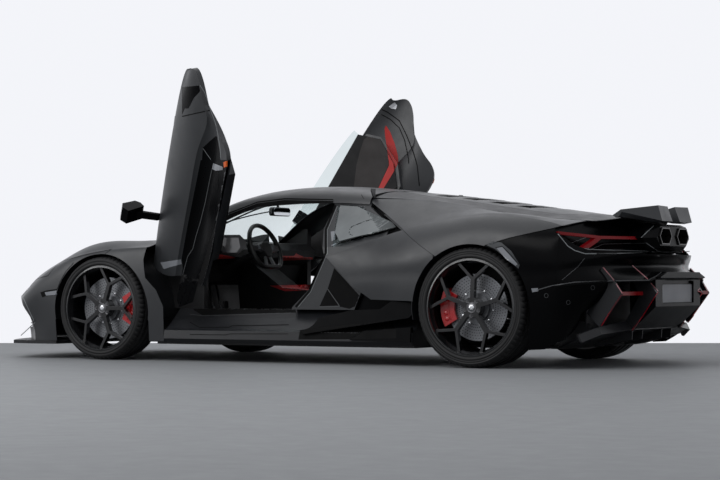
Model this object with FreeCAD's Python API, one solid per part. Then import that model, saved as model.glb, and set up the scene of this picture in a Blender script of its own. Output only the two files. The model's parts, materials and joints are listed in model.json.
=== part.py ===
import FreeCAD, Part

import math
import os

V = FreeCAD.Vector

# Overall size, millimetres
overall_width = 2033.0
roof_height = 1160.0
wheelbase = 2779.0
front_overhang = 1173.0
rear_overhang = 995.0

half_width = overall_width / 2
overall_length = front_overhang + wheelbase + rear_overhang
front_axle = overall_length / 2 - front_overhang
rear_axle = front_axle - wheelbase

# Lengths that the outlines below are drawn for: they stretch with the real ones, away from the wheels
drawn_wheelbase = 2779.0
nose = 1173.0
tail_end = -995.0
wheel_zone = 402.0
door_front = 510.0
door_rear = 900.0

# Tyres, rims and brakes
front_tyre_radius = 346.0
rear_tyre_radius = 368.0
front_tyre_width = 265.0
rear_tyre_width = 335.0
front_half_track = 860.0
rear_half_track = 845.0
front_rim_radius = 284.0
rear_rim_radius = 297.0
tyre_shoulder = 26.0
rim_wall = 9.0
hub_radius = 62.0
bore_radius = 34.0
spoke_pairs = 5
spoke_half = 13.0
prong_half = 9.0
prong_angle = 21.0
fork_share = 0.6
front_spoke_turn = 180.0
rear_spoke_turn = 164.5
spoke_depth = 34.0
disc_radius = 205.0
disc_thickness = 36.0
disc_hat_radius = 88.0
running_gap = 6.0

# Body shell
skin_wall = 5.0
panel_gap = 4.0
seat_gap = 0.4
liner_wall = 4.0
front_liner_radius = 400.0
rear_liner_radius = 408.0
floor_height = 112.0
floor_thickness = 14.0
front_arch_radius = 380.0
rear_arch_radius = 402.0
front_arch_height = 328.0
rear_arch_height = 350.0

# Doors
door_open_angle = 65.0
door_hinge_dx = -555.0
door_hinge_y = 851.0
door_hinge_z = 609.0
door_axis_lean = -0.394
door_skin_depth = 34.0
door_axis_sweep = -0.027
door_frame_depth = 142.0
door_gap = 12.0
door_room = 9.0
glass_thickness = 4.0
lid_gap = 6.0
hinge_pin_radius = 12.0
hinge_fit = 0.1
lid_hinge_gap = 20.0
lid_hinge_drop = 12.0
lid_hinge_offset = 6.0
lid_pin_radius = 4.0
lid_knuckle_radius = 7.0

# Cabin
cabin_half_width = 640.0
seat_centre = 370.0
seat_width = 500.0
wheel_ring_radius = 172.0
wheel_ring_tube = 15.0
wheel_tilt = 22.0
column_length = 360.0


def front_x(dx):
    """The place of a station drawn at dx from the front axle."""
    if dx > wheel_zone:
        stretch = (front_overhang - wheel_zone) / (nose - wheel_zone)
        return front_axle + wheel_zone + (dx - wheel_zone) * stretch
    if dx >= -door_front:
        return front_axle + dx
    drawn_span = drawn_wheelbase - door_front - door_rear
    if -dx - door_front > drawn_span:
        return rear_x(dx + drawn_wheelbase)
    span = wheelbase - door_front - door_rear
    return front_axle - door_front + (dx + door_front) * span / drawn_span


def rear_x(dx):
    """The place of a station drawn at dx from the rear axle."""
    if dx > door_rear:
        return front_x(dx - drawn_wheelbase)
    if dx >= -wheel_zone:
        return rear_axle + dx
    stretch = (rear_overhang - wheel_zone) / (-tail_end - wheel_zone)
    return rear_axle - wheel_zone + (dx + wheel_zone) * stretch


def front(dx, y, z):
    return V(front_x(dx), y, z)


def rear(dx, y, z):
    return V(rear_x(dx), y, z)


def basis_value(knots, degree, index, t):
    if degree == 0:
        inside = knots[index] <= t < knots[index + 1]
        last = t == knots[-1] and knots[index] < t <= knots[index + 1]
        return 1.0 if inside or last else 0.0
    total = 0.0
    span = knots[index + degree] - knots[index]
    if span > 0:
        total += (t - knots[index]) / span * basis_value(knots, degree - 1, index, t)
    span = knots[index + degree + 1] - knots[index + 1]
    if span > 0:
        rest = knots[index + degree + 1] - t
        total += rest / span * basis_value(knots, degree - 1, index + 1, t)
    return total


def knot_layout(count):
    degree = min(3, count - 1)
    inner = [float(k) for k in range(2, count - 2)] if degree == 3 else []
    knots = [0.0] + inner + [count - 1.0]
    mults = [degree + 1] + [1] * len(inner) + [degree + 1]
    return degree, knots, mults


def fit_matrix(count, store={}):
    if count in store:
        return store[count]
    degree, knots, mults = knot_layout(count)
    flat = [k for k, m in zip(knots, mults) for _ in range(m)]
    rows = []
    for i in range(count):
        row = [basis_value(flat, degree, j, float(i)) for j in range(count)]
        rows.append(row + [1.0 if i == j else 0.0 for j in range(count)])
    for i in range(count):
        pivot = max(range(i, count), key=lambda r: abs(rows[r][i]))
        rows[i], rows[pivot] = rows[pivot], rows[i]
        scale = rows[i][i]
        rows[i] = [value / scale for value in rows[i]]
        for r in range(count):
            if r != i and rows[r][i]:
                factor = rows[r][i]
                rows[r] = [a - factor * b for a, b in zip(rows[r], rows[i])]
    store[count] = [row[count:] for row in rows]
    return store[count]


def poles_through(points):
    result = []
    for weights in fit_matrix(len(points)):
        pole = V(0, 0, 0)
        for weight, point in zip(weights, points):
            pole = pole + point * weight
        result.append(pole)
    return result


def smooth_face(grid):
    across = [poles_through(row) for row in grid]
    columns = [poles_through([row[j] for row in across]) for j in range(len(across[0]))]
    poles = [[column[i] for column in columns] for i in range(len(grid))]
    du, uk, um = knot_layout(len(grid))
    dv, vk, vm = knot_layout(len(grid[0]))
    surface = Part.BSplineSurface()
    surface.buildFromPolesMultsKnots(poles, um, vm, uk, vk, False, False, du, dv)
    return surface.toShape()


def key_of(point):
    return (round(point.x, 2), round(point.y, 2), round(point.z, 2))


def grid_normals(grids, heart):
    normals = {}
    for grid in grids:
        rows, cols = len(grid), len(grid[0])
        for i in range(rows):
            for j in range(cols):
                along = grid[min(i + 1, rows - 1)][j] - grid[max(i - 1, 0)][j]
                across = grid[i][min(j + 1, cols - 1)] - grid[i][max(j - 1, 0)]
                normal = along.cross(across)
                if normal.Length < 1e-6:
                    continue
                normal.normalize()
                if normal.dot(grid[i][j] - heart(grid[i][j])) < 0:
                    normal = normal * -1
                key = key_of(grid[i][j])
                normals[key] = normals.get(key, V(0, 0, 0)) + normal
    for key in normals:
        normals[key] = normals[key].normalize()
    return normals


def borders(grid):
    return [grid[0], grid[-1], [row[0] for row in grid], [row[-1] for row in grid]]


def border_key(points):
    ends = sorted([key_of(points[0]), key_of(points[-1])])
    return (tuple(ends), key_of(points[len(points) // 2]), len(points))


def closed_solid(outer, inner):
    faces = [smooth_face(grid) for grid in outer + inner]
    seen = {}
    for outer_grid, inner_grid in zip(outer, inner):
        for a, b in zip(borders(outer_grid), borders(inner_grid)):
            seen.setdefault(border_key(a), []).append((a, b))
    for pairs in seen.values():
        if len(pairs) == 1:
            faces.append(smooth_face([pairs[0][0], pairs[0][1]]))
    shell = Part.makeShell(faces)
    shell.sewShape()
    solid = Part.makeSolid(shell)
    if solid.Volume < 0:
        solid.reverse()
    return solid


def car_heart(point):
    return V(point.x * 0.6, point.y * 0.3, 260.0)


def layer(grids, outer_depth, inner_depth):
    normals = grid_normals(grids, car_heart)
    sheets = []
    for depth in (outer_depth, inner_depth):
        sheets.append([[[p - normals[key_of(p)] * depth for p in row] for row in grid] for grid in grids])
    return closed_solid(sheets[0], sheets[1])


def skin(grids, wall=skin_wall):
    return layer(grids, 0.0, wall)


def flip(shape):
    return shape.mirror(V(0, 0, 0), V(0, 1, 0))


def flip_point(point):
    return V(point.x, -point.y, point.z)


def whole_rows(rows):
    result = []
    for row in rows:
        result.append([flip_point(p) for p in row[:0:-1]] + row)
    return result


def box(x0, x1, y0, y1, z0, z1):
    return Part.makeBox(x1 - x0, y1 - y0, z1 - z0, V(x0, y0, z0))


def face_of(points):
    return Part.Face(Part.makePolygon(points + [points[0]]))


def slab_y(outline, y0, y1):
    return face_of([V(x, y0, z) for x, z in outline]).extrude(V(0, y1 - y0, 0))


def slab_z(outline, z0, z1):
    return face_of([V(x, y, z0) for x, y in outline]).extrude(V(0, 0, z1 - z0))


def slab_x(outline, x0, x1):
    return face_of([V(x0, y, z) for y, z in outline]).extrude(V(x1 - x0, 0, 0))


def tube_y(x, z, radius, y0, y1):
    return Part.makeCylinder(radius, y1 - y0, V(x, y0, z), V(0, 1, 0))


def rod(a, b, radius):
    return Part.makeCylinder(radius, (b - a).Length, a, b - a)


def fuse(shapes):
    result = shapes[0]
    for shape in shapes[1:]:
        result = result.fuse(shape)
    return result.removeSplitter()


def near_axle(place, outline):
    return [(place(dx), other) for dx, other in outline]


def both_sides(outline):
    return outline + [(x, -y) for x, y in reversed(outline)]


def across(outline):
    return outline + [(-y, z) for y, z in reversed(outline)]


parts = {}


def keep(name, shape):
    parts[name] = shape


def keep_pair(stem, left_shape):
    parts[stem + "_left"] = left_shape
    parts[stem + "_right"] = flip(left_shape)


def gathered(shapes):
    return Part.makeCompound([solid for shape in shapes for solid in shape.Solids])


def keep_both(name, *left_shapes):
    keep(name, gathered([shape for left in left_shapes for shape in (left, flip(left))]))


def lid_hinge(x, z_top, y, toward, limit):
    """An ear for a lid that lies towards +X or -X of its pin, and the block that holds the pin."""
    pin_z = z_top - lid_hinge_drop
    arm = box(min(x, x + toward * 55), max(x, x + toward * 55), y, y + 8, z_top - 20, z_top + 20).cut(limit)
    ear = fuse([tube_y(x, pin_z, lid_knuckle_radius, y, y + 8), biggest(arm)])
    ear = ear.cut(tube_y(x, pin_z, lid_pin_radius + hinge_fit, y - 1, y + 9))
    reach = x - toward * lid_hinge_gap
    block = fuse([tube_y(x, pin_z, lid_knuckle_radius, y + 10, y + 26),
                  box(min(x, reach), max(x, reach), y + 10, y + 26, pin_z - lid_knuckle_radius,
                      pin_z + lid_knuckle_radius)])
    return ear, fuse([block, tube_y(x, pin_z, lid_pin_radius, y - 4, y + 12)])


# Front body: character lines from the cowl to the nose, distances from the front axle
def side_y(inset):
    return half_width - inset


hood_lines = [
    [(-294, 0, 802), (-60, 0, 768), (190, 0, 718), (440, 0, 655), (690, 0, 580), (930, 0, 495), (nose, 0, 402)],
    [(-305, 300, 803), (-75, 300, 764), (170, 300, 710), (415, 300, 646), (660, 300, 572),
     (895, 300, 492), (nose - 42, 300, 406)],
    [(-350, 560, 812), (-130, 560, 780), (100, 560, 728), (330, 560, 662), (560, 560, 590),
     (780, 560, 512), (nose - 175, 560, 415)],
    [(-440, 700, 805), (-190, 700, 800), (40, 700, 780), (270, 700, 735), (480, 700, 660),
     (690, 700, 566), (890, 700, 424)],
    [(-470, 815, 785), (-230, 815, 784), (0, 815, 797), (230, 815, 760), (440, 815, 668),
     (620, 815, 575), (785, 815, 424)],
]
shoulder_line = [(-490, 112, 765), (-250, 80, 748), (-20, 72, 738), (190, 72, 705),
                 (380, 78, 640), (550, 92, 548), (707, 112, 424)]
front_side_lines = [
    [(-490, 72, 650), (-250, 46, 660), (-20, 32, 660), (190, 34, 640), (375, 42, 580), (545, 60, 500), (700, 86, 385)],
    [(-490, 62, 500), (-250, 32, 500), (-20, 25, 500), (190, 27, 490), (385, 32, 460), (545, 52, 420), (665, 72, 335)],
    [(-490, 66, 310), (-250, 37, 310), (-20, 27, 310), (190, 32, 310), (375, 38, 300), (525, 62, 290), (610, 76, 260)],
    [(-490, 76, 130), (-250, 52, 130), (-20, 42, 130), (190, 47, 126), (365, 57, 123), (500, 72, 123), (585, 86, 123)],
]
nose_rows = [
    [(nose - 12, 0, 362), (nose - 54, 300, 362), (nose - 184, 560, 366), (880, 700, 374), (778, 815, 380)],
    [(nose - 45, 0, 302), (nose - 86, 300, 304), (nose - 212, 560, 308), (850, 700, 314), (750, 815, 322)],
    [(nose - 80, 0, 215), (nose - 122, 300, 217), (nose - 246, 560, 222), (812, 700, 228), (706, 815, 240)],
    [(nose - 98, 0, 123), (nose - 138, 300, 123), (nose - 262, 560, 123), (792, 700, 123), (688, 815, 123)],
]
front_split = [(-60, 735), (382, 656), (455, 560), (1400, 430), (1400, -50), (365, -50), (365, 300), (300, 400)]
lid_rear = -250.0
lid_rear_height = 797.0
lid_line = [(lid_rear, 540), (-40, 600), (330, 520), (690, 370), (800, 300)]
lamp_line = [(560, 640), (720, 560), (905, 560), (800, 720), (745, 835), (640, 800)]
splitter_top = 122.0
splitter_bottom = 100.0
splitter_rear = 396.0


def front_surfaces():
    centre_columns = [[front(*p) for p in line] for line in hood_lines]
    shoulder = [front(dx, side_y(inset), z) for dx, inset, z in shoulder_line]
    sides = [[front(dx, side_y(inset), z) for dx, inset, z in line] for line in front_side_lines]
    columns = centre_columns + [shoulder]
    top_half = [[column[i] for column in columns] for i in range(len(shoulder))]
    top = whole_rows(top_half)
    side_columns = [shoulder] + sides
    side = [[column[i] for column in side_columns] for i in range(len(shoulder))]
    corner = side[-1]
    face_half = [top_half[-1]]
    for row, end in zip(nose_rows, corner[1:]):
        face_half.append([front(*p) for p in row] + [end])
    face = whole_rows(face_half)
    mirrored_side = [[flip_point(p) for p in row] for row in side]
    return [top, side, mirrored_side, face]


def grown(outline, margin):
    wire = Part.makePolygon([V(x, y, 0) for x, y in outline + [outline[0]]])
    wider = wire.makeOffset2D(margin, 2)
    return [(v.X, v.Y) for v in wider.OrderedVertexes]


def plan_region(outline, low, high, margin=0.0):
    return slab_z(grown(outline, margin) if margin else outline, low, high)


def side_region(outline, margin=0.0, reach=60.0):
    return slab_y(grown(outline, margin) if margin else outline, -half_width - reach, half_width + reach)


def biggest(shape):
    return max(shape.Solids, key=lambda solid: solid.Volume)


def clear_of(shape, *others):
    for other in others:
        shape = shape.cut(other)
    return biggest(shape)


def front_arches():
    arch = tube_y(front_axle, front_arch_height, front_arch_radius, 640, half_width + 60)
    below = box(front_axle - front_arch_radius, front_axle + front_arch_radius, 640, half_width + 60,
                0, front_arch_height - 60)
    left = arch.fuse(below)
    return [left, flip(left)]


def build_front():
    surfaces = front_surfaces()
    limit = layer(surfaces, skin_wall, -120)
    whole = skin(surfaces)
    for arch in front_arches():
        whole = whole.cut(arch)
    lid_outline = near_axle(front_x, both_sides(lid_line))
    lid = biggest(whole.common(plan_region(lid_outline, 350, 1000)))
    ear, block = lid_hinge(front_axle + lid_rear - lid_hinge_offset, lid_rear_height, 420, 1, limit)
    keep("front_lid", fuse([lid, ear, flip(ear)]))
    cowl_front = front_axle + lid_rear - lid_hinge_gap
    rest = whole.cut(plan_region(lid_outline, 350, 1000, lid_gap))
    rest = rest.cut(box(cowl_front, front_axle + lid_rear + 10, -545, 545, 700, 900))

    split = near_axle(front_x, front_split)
    fender_rear = near_axle(front_x, [(-900, 1000), (-345, 1000), (-347, 800), (-336, 667), (-360, 547),
                                         (-440, 468), (-500, 336), (-505, 100), (-900, 100)])
    behind = rest.cut(side_region(split, panel_gap))
    cowl_zone = box(front_axle - 340, cowl_front, -545, 545, 700, 900)
    keep("cowl", biggest(behind.common(cowl_zone)))
    wings = behind.cut(box(front_axle - 900, front_axle - 240, -549, 549, 600, 1000))
    wings = wings.cut(side_region(fender_rear))
    keep_both("fenders", biggest(wings.common(box(-3000, 3000, 200, half_width + 60, 0, 1100))))

    bumper = biggest(rest.common(side_region(split)))
    lamp_outline = near_axle(front_x, lamp_line)
    keep_both("headlamps", biggest(bumper.common(plan_region(lamp_outline, 380, 900))))
    hole = plan_region(lamp_outline, 380, 900, panel_gap)
    bumper = bumper.cut(hole).cut(flip(hole))
    intake = slab_x([(330, 200), (800, 205), (850, 330), (640, 352), (330, 345)], front_x(560), 3000)
    middle = box(front_x(600), 3000, -250, 250, 190, 300)
    keep("front_bumper", biggest(bumper.cut(intake).cut(flip(intake)).cut(middle)))

    outline = near_axle(front_x, both_sides([(nose - 60, 0), (nose - 90, 320), (nose - 200, 580), (900, 740),
                                                (778, 925), (640, 955), (splitter_rear, 945)])[1:])
    keep("front_splitter", slab_z(outline, splitter_bottom, splitter_top))

    backing = layer(surfaces, skin_wall, skin_wall + 3)
    for arch in front_arches():
        backing = backing.cut(arch)
    seam = backing.common(slab_y(near_axle(front_x, [(-60, 757), (392, 676), (474, 576), (440, 540), (372, 636),
                                                        (-60, 713)]), 640, half_width + 60))
    housing = layer(surfaces, skin_wall, skin_wall + 40).common(plan_region(lamp_outline, 380, 900, 14))
    return limit, block, [biggest(seam), biggest(housing)]


# Roof: lines from the cowl to the rear edge of the roof, as drops below the roof height
roof_lines = [
    [(-294, 0, 354), (-484, 0, 242), (-666, 0, 127), (-894, 0, 42), (-1150, 0, 7), (-1407, 0, 0),
     (-1662, 0, 13), (-1885, 0, 38)],
    [(-304, 230, 356), (-494, 220, 240), (-674, 215, 127), (-899, 210, 45), (-1154, 210, 10), (-1409, 210, 3),
     (-1662, 210, 16), (-1885, 210, 41)],
    [(-344, 440, 356), (-519, 420, 235), (-694, 405, 130), (-914, 400, 55), (-1164, 400, 22), (-1414, 400, 15),
     (-1664, 400, 27), (-1885, 400, 52)],
    [(-414, 600, 356), (-574, 570, 235), (-734, 552, 138), (-939, 545, 75), (-1184, 540, 45), (-1424, 540, 38),
     (-1669, 540, 47), (-1885, 540, 70)],
    [(-484, 705, 362), (-629, 662, 252), (-779, 632, 150), (-974, 618, 98), (-1214, 612, 72), (-1444, 610, 66),
     (-1674, 612, 73), (-1885, 615, 92)],
    [(-500, 735, 386), (-665, 700, 298), (-822, 668, 222), (-1012, 652, 157), (-1243, 650, 133), (-1463, 650, 127),
     (-1678, 650, 130), (-1885, 650, 142)],
]
windscreen_line = [(-330, 250), (-372, 460), (-448, 600), (-740, 560), (-945, 535), (-1020, 480), (-1045, 250)]
screen_cut_line = [(-250, 250), (-300, 460), (-390, 616)] + windscreen_line[3:]


def rows_of(columns):
    return [[column[i] for column in columns] for i in range(len(columns[0]))]


def build_roof():
    columns = [[front(dx, y, roof_height - drop) for dx, y, drop in line] for line in roof_lines]
    surface = whole_rows(rows_of(columns))
    roof = skin([surface])
    opening = near_axle(front_x, both_sides(screen_cut_line))
    windscreen = biggest(roof.common(plan_region(opening, 700, 1300, -panel_gap)))
    keep("roof_panel", biggest(roof.cut(plan_region(opening, 700, 1300))))
    backing = layer([surface], skin_wall, skin_wall + 3)
    ring = plan_region(opening, 700, 1300, 14).cut(plan_region(opening, 700, 1300, -18))
    return layer([surface], skin_wall, -120), windscreen, biggest(backing.common(ring))


# Rear body: lines from the rear axle
deck_lines = [
    [(885, 0, 1119), (640, 0, 1095), (340, 0, 1060), (40, 0, 1018), (-260, 0, 976), (-510, 0, 944), (-785, 0, 932)],
    [(885, 250, 1116), (640, 250, 1092), (340, 250, 1057), (40, 250, 1014), (-260, 250, 972), (-510, 250, 940),
     (-765, 250, 928)],
    [(885, 450, 1096), (640, 450, 1073), (340, 450, 1038), (40, 450, 992), (-260, 450, 950), (-510, 450, 920),
     (-700, 450, 908)],
    [(885, 600, 1063), (640, 600, 1049), (340, 600, 1020), (40, 600, 967), (-260, 600, 924), (-510, 600, 903),
     (-620, 600, 895)],
]
buttress_lines = [
    [(1105, 604, 1057), (915, 604, 1055), (715, 604, 1050), (485, 604, 1038), (245, 604, 1005), (0, 604, 959),
     (-245, 604, 925), (-445, 604, 906), (-595, 604, 895)],
    [(1105, 700, 970), (915, 690, 985), (715, 700, 985), (485, 710, 985), (245, 710, 975), (0, 710, 955),
     (-245, 710, 932), (-445, 710, 905), (-590, 710, 885)],
    [(1105, 790, 835), (915, 790, 868), (715, 800, 895), (485, 800, 925), (245, 800, 940), (0, 800, 950),
     (-245, 800, 936), (-445, 800, 902), (-580, 800, 873)],
]
haunch_lines = [
    [(1105, 166, 690), (915, 158, 735), (715, 144, 795), (485, 131, 855), (245, 136, 900), (0, 144, 930),
     (-245, 142, 921), (-445, 131, 890), (-565, 121, 858)],
    [(1105, 160, 655), (915, 144, 680), (715, 111, 720), (485, 66, 765), (245, 48, 810), (0, 38, 835),
     (-245, 36, 825), (-445, 44, 795), (-565, 61, 770)],
    [(1105, 158, 600), (915, 136, 610), (715, 91, 630), (485, 31, 660), (245, 6, 690), (0, 0, 700),
     (-245, 0, 700), (-445, 11, 680), (-565, 41, 660)],
    [(1105, 158, 540), (915, 136, 550), (715, 91, 565), (485, 31, 580), (245, 5, 590), (0, 0, 595),
     (-245, 0, 595), (-445, 11, 592), (-565, 41, 588)],
    [(1105, 158, 480), (915, 136, 490), (715, 91, 500), (485, 31, 510), (245, 4, 515), (0, 0, 520),
     (-245, 0, 520), (-445, 11, 520), (-565, 41, 518)],
    [(1105, 166, 360), (915, 146, 360), (715, 106, 360), (485, 41, 360), (245, 11, 360), (0, 4, 360),
     (-245, 4, 360), (-445, 16, 360), (-565, 51, 360)],
    [(1105, 186, 150), (915, 166, 150), (715, 131, 150), (485, 76, 150), (245, 46, 150), (0, 31, 150),
     (-245, 31, 150), (-445, 46, 150), (-565, 76, 150)],
]
tail_rows = [
    [(-785, 0, 930), (-765, 250, 926), (-700, 450, 906), (-640, 660, 885), (-592, 800, 868)],
    [(-870, 0, 830), (-850, 250, 826), (-790, 450, 815), (-705, 680, 800), (-640, 830, 785)],
    [(-930, 0, 700), (-915, 250, 698), (-860, 450, 692), (-760, 700, 682), (-668, 870, 670)],
    [(-865, 0, 622), (-855, 250, 620), (-808, 450, 616), (-745, 700, 608), (-664, 874, 598)],
    [(-950, 0, 540), (-942, 250, 538), (-895, 450, 530), (-806, 700, 522), (-686, 882, 516)],
    [(-940, 0, 440), (-925, 250, 436), (-850, 450, 420), (-740, 700, 400), (-650, 872, 378)],
    [(-900, 0, 300), (-870, 250, 290), (-780, 450, 260), (-640, 700, 210), (-600, 865, 150)],
]
split_line = [(1015, 1114), (916, 1046), (725, 951), (537, 854), (245, 687), (100, 600)]
crown_line = [(-60, 700), (-108, 745), (-258, 787), (-518, 845), (-700, 900)]
cover_front = 836.0
cover_front_height = 1110.0
cover_line = [(cover_front, 300), (560, 430), (-330, 430), (-470, 330)]
panel_rows = [
    [(-700, 0, 915), (-680, 250, 910), (-630, 450, 895), (-570, 660, 875), (-515, 915, 850)],
    [(-770, 0, 800), (-755, 250, 798), (-700, 450, 790), (-620, 660, 775), (-535, 975, 770)],
    [(-842, 0, 670), (-832, 250, 670), (-772, 450, 670), (-692, 660, 670), (-600, 915, 670)],
]
recess_line = [(960, 1000), (955, 850), (935, 805), (870, 742), (760, 692)]
recess_start = -530.0
shelf_line = [(-700, 755), (-752, 700), (-855, 450), (-911, 250)]
shelf_inner_line = [(-660, 755), (-690, 660), (-760, 450), (-822, 250)]
shelf_top = 688.0
tail_foot = 112.0
pipe_half_width = 100.0
pipe_half_height = 52.0
pipe_wall = 7.0
pipe_y = 143.0
pipe_z = 806.0
pipe_end = -925.0
tail_panel_wall = 12.0
bezel_line = [(263, 704), (370, 792), (263, 882)]
lip_line = [(215, 746), (270, 795), (215, 866)]

# Lower tail: ledge, block for the plate, fins, ribbons and diffuser
fin_half = 11.0
outer_fin_y = 725.0
inner_fin_y = 385.0
tunnel_half = outer_fin_y + fin_half
tunnel_top = 533.0
block_half = inner_fin_y - fin_half
ledge_side = [(-405, 470), (-575, 506), (-690, 521), (-826, 534), (-1000, 540)]
ledge_plan = [(-405, 1002), (-500, 993), (-575, 974), (-690, 900), (-832, 725), (-946, 440)]
ledge_rise = [(440, 540), (280, 584)]
ledge_wall = 12.0
side_edge = [(-350, 60), (-350, 114), (-480, 122), (-590, 180), (-652, 333), (-750, 430), (-818, 493), (-1300, 500), (-1300, 60)]
outer_fin = [(-750, 612), (-826, 533), (-877, 450), (-731, 254), (-652, 333), (-700, 440), (-720, 540)]
inner_fin = [(-805, 621), (-908, 536), (-962, 455), (-804, 225), (-762, 284), (-850, 440), (-800, 540)]
ribbon_stations = [(830, (-638, 207), (-662, 162)), (725, (-722, 252), (-745, 208)), (390, (-762, 284), (-807, 233))]
ribbon_wall = 16.0
plate_half_width = 262.0
plate_low = 392.0
plate_high = 530.0
plate_face = -930.0
block_line = [(-780, 590), (-982, 590), (-982, 548), (-948, 536), (-948, 372), (-800, 236), (-780, 236)]
block_hollow = [(-700, 574), (-955, 574), (-916, 540), (-916, 384), (-796, 256), (-700, 256)]


def rear_arch():
    return tube_y(rear_axle, rear_arch_height, rear_arch_radius, 600, half_width + 60).fuse(
        box(rear_axle - rear_arch_radius + 20, rear_axle + rear_arch_radius - 20, 600, half_width + 60,
            0, rear_arch_height - 90))


def haunch_surfaces():
    shoulder = [rear(dx, side_y(inset), z) for dx, inset, z in haunch_lines[0]]
    tops = [[rear(*p) for p in line] for line in buttress_lines]
    lows = [[rear(dx, side_y(inset), z) for dx, inset, z in line] for line in haunch_lines[1:]]
    return rows_of(tops + [shoulder]), rows_of([shoulder] + lows)


def build_rear():
    deck_surface = whole_rows(rows_of([[rear(*p) for p in line] for line in deck_lines]))
    deck = skin([deck_surface])
    cover_outline = near_axle(rear_x, both_sides(cover_line))
    cover = biggest(deck.common(plan_region(cover_outline, 600, 1300)))
    for start in (520, 330, 140, -50):
        window = near_axle(rear_x, [(start, 60), (start + 60, 340), (start - 40, 340), (start - 100, 60)])
        slot = slab_z(window, 600, 1300)
        cover = cover.cut(slot).cut(flip(slot))
    deck_limit = layer([deck_surface], skin_wall, -120)
    hinge_x = rear_axle + cover_front + lid_hinge_offset
    ear, block = lid_hinge(hinge_x, cover_front_height, 220, -1, deck_limit)
    keep("engine_cover", fuse([cover, ear, flip(ear)]))
    gap = box(rear_axle + cover_front - 10, rear_axle + cover_front + lid_hinge_gap, -300 - lid_gap, 300 + lid_gap,
              1000, 1200)
    keep("rear_deck", biggest(deck.cut(plan_region(cover_outline, 600, 1300, lid_gap)).cut(gap)))

    upper, lower = haunch_surfaces()
    arch = rear_arch()
    split = near_axle(rear_x, split_line)
    crown = near_axle(rear_x, crown_line)
    behind = slab_y(split + crown + [(rear_axle - 1000, 1300)], 400, half_width + 60)
    crown_panel = biggest(skin([upper, lower]).cut(arch).common(behind))
    keep_both("rear_fenders", crown_panel)

    ahead = slab_y([(x + panel_gap, z) for x, z in split[2:5]] + near_axle(rear_x, [
        (245, 380), (420, 405), (740, 412), (900, 500), (1024, 613), (1115, 692), (1000, 760)]),
        400, half_width + 60)
    quarter = biggest(skin([lower]).cut(arch).common(ahead))
    keep_both("quarter_panels", quarter)
    seam = near_axle(rear_x, [(745, 948), (725, 940), (537, 842), (262, 684), (225, 684), (505, 854), (700, 955)])
    backing = layer([upper, lower], skin_wall, skin_wall + 3).cut(arch)
    joiner = clear_of(backing.common(slab_y(seam, 400, half_width + 60)), quarter)

    flank = [column[:-1] + [V(column[-1].x, column[-1].y, tail_foot)] for column in lower]
    face_half = [[rear(*p) for p in row] + [end] for row, end in zip(tail_rows, flank[-1])]
    face = whole_rows(face_half)
    mirrored = [[flip_point(p) for p in row] for row in flank]
    tail = skin([flank, face, mirrored]).cut(arch).cut(flip(arch))
    under_crown = side_region([(x, z - panel_gap) for x, z in crown] + near_axle(rear_x, [
        (-1200, 1000), (-1200, 100), (-150, 100), (-150, 500), (-60, 640)]))
    recess = slab_x(across(recess_line), rear_x(-1300), rear_x(recess_start))
    tunnel = slab_x(across([(tunnel_half, 0), (tunnel_half, tunnel_top)]), rear_x(-1300), rear_x(-430))
    shell = tail.common(under_crown).cut(recess).cut(tunnel)
    shell = biggest(shell.cut(side_region(near_axle(rear_x, side_edge))))
    shelf = slab_z(near_axle(rear_x, both_sides(shelf_line)), shelf_top - 8, shelf_top)
    shelf = shelf.cut(slab_z(near_axle(rear_x, both_sides(shelf_inner_line)), shelf_top - 9, shelf_top + 1))
    bumper = fuse([shell] + shelf.Solids + tail_ledge())
    blades = tail_blades()
    bumper = clear_of(bumper, *blades)
    keep("rear_bumper", bumper)
    keep("tail_blades", gathered(blades))

    panel = skin([whole_rows([[rear(*p) for p in row] for row in panel_rows])], tail_panel_wall)
    housing = exhaust_housing()
    haunch_limit = layer([upper, lower], skin_wall, -150)
    panel = clear_of(panel, haunch_limit, flip(haunch_limit), crown_panel, flip(crown_panel))
    panel = clear_of(panel, box(-3000, 0, -1200, 1200, 0, shelf_top), bumper)
    hole = pipe_shape(pipe_half_width + seat_gap, pipe_half_height + seat_gap)
    keep("tail_panel", biggest(fuse([panel, housing]).cut(hole).cut(flip(hole))))
    ring = pipe_shape(pipe_half_width, pipe_half_height).cut(
        pipe_shape(pipe_half_width - pipe_wall, pipe_half_height - pipe_wall))
    keep("exhaust", gathered([ring, flip(ring)]))
    keep("tail_lamps", gathered(tail_lamps(parts["tail_panel"])))
    limits = {
        "deck": deck_limit,
        "deck_inside": layer([deck_surface], 0, 120),
        "haunch": haunch_limit,
        "tail": layer([whole_rows([[rear(*p) for p in row] for row in panel_rows])], tail_panel_wall, -200),
    }
    return limits, block, joiner


def pipe_shape(half_width_of_pipe, half_height):
    corners = [(pipe_y + half_width_of_pipe * u, pipe_z + half_height * v)
               for u, v in ((-1, 0), (-0.6, 1), (0.6, 1), (1, 0), (0.6, -1), (-0.6, -1))]
    return slab_x(corners, rear_x(pipe_end), rear_x(-640))


def wire_x(outline, x):
    points = [V(x, y, z) for y, z in outline]
    return Part.makePolygon(points + [points[0]])


def exhaust_housing():
    """A faceted bezel round both pipes."""
    wires = [wire_x(across(bezel_line), rear_x(-760)), wire_x(across(bezel_line), rear_x(-862)),
             wire_x(across(lip_line), rear_x(-915))]
    return Part.makeLoft(wires, True, True)


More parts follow.
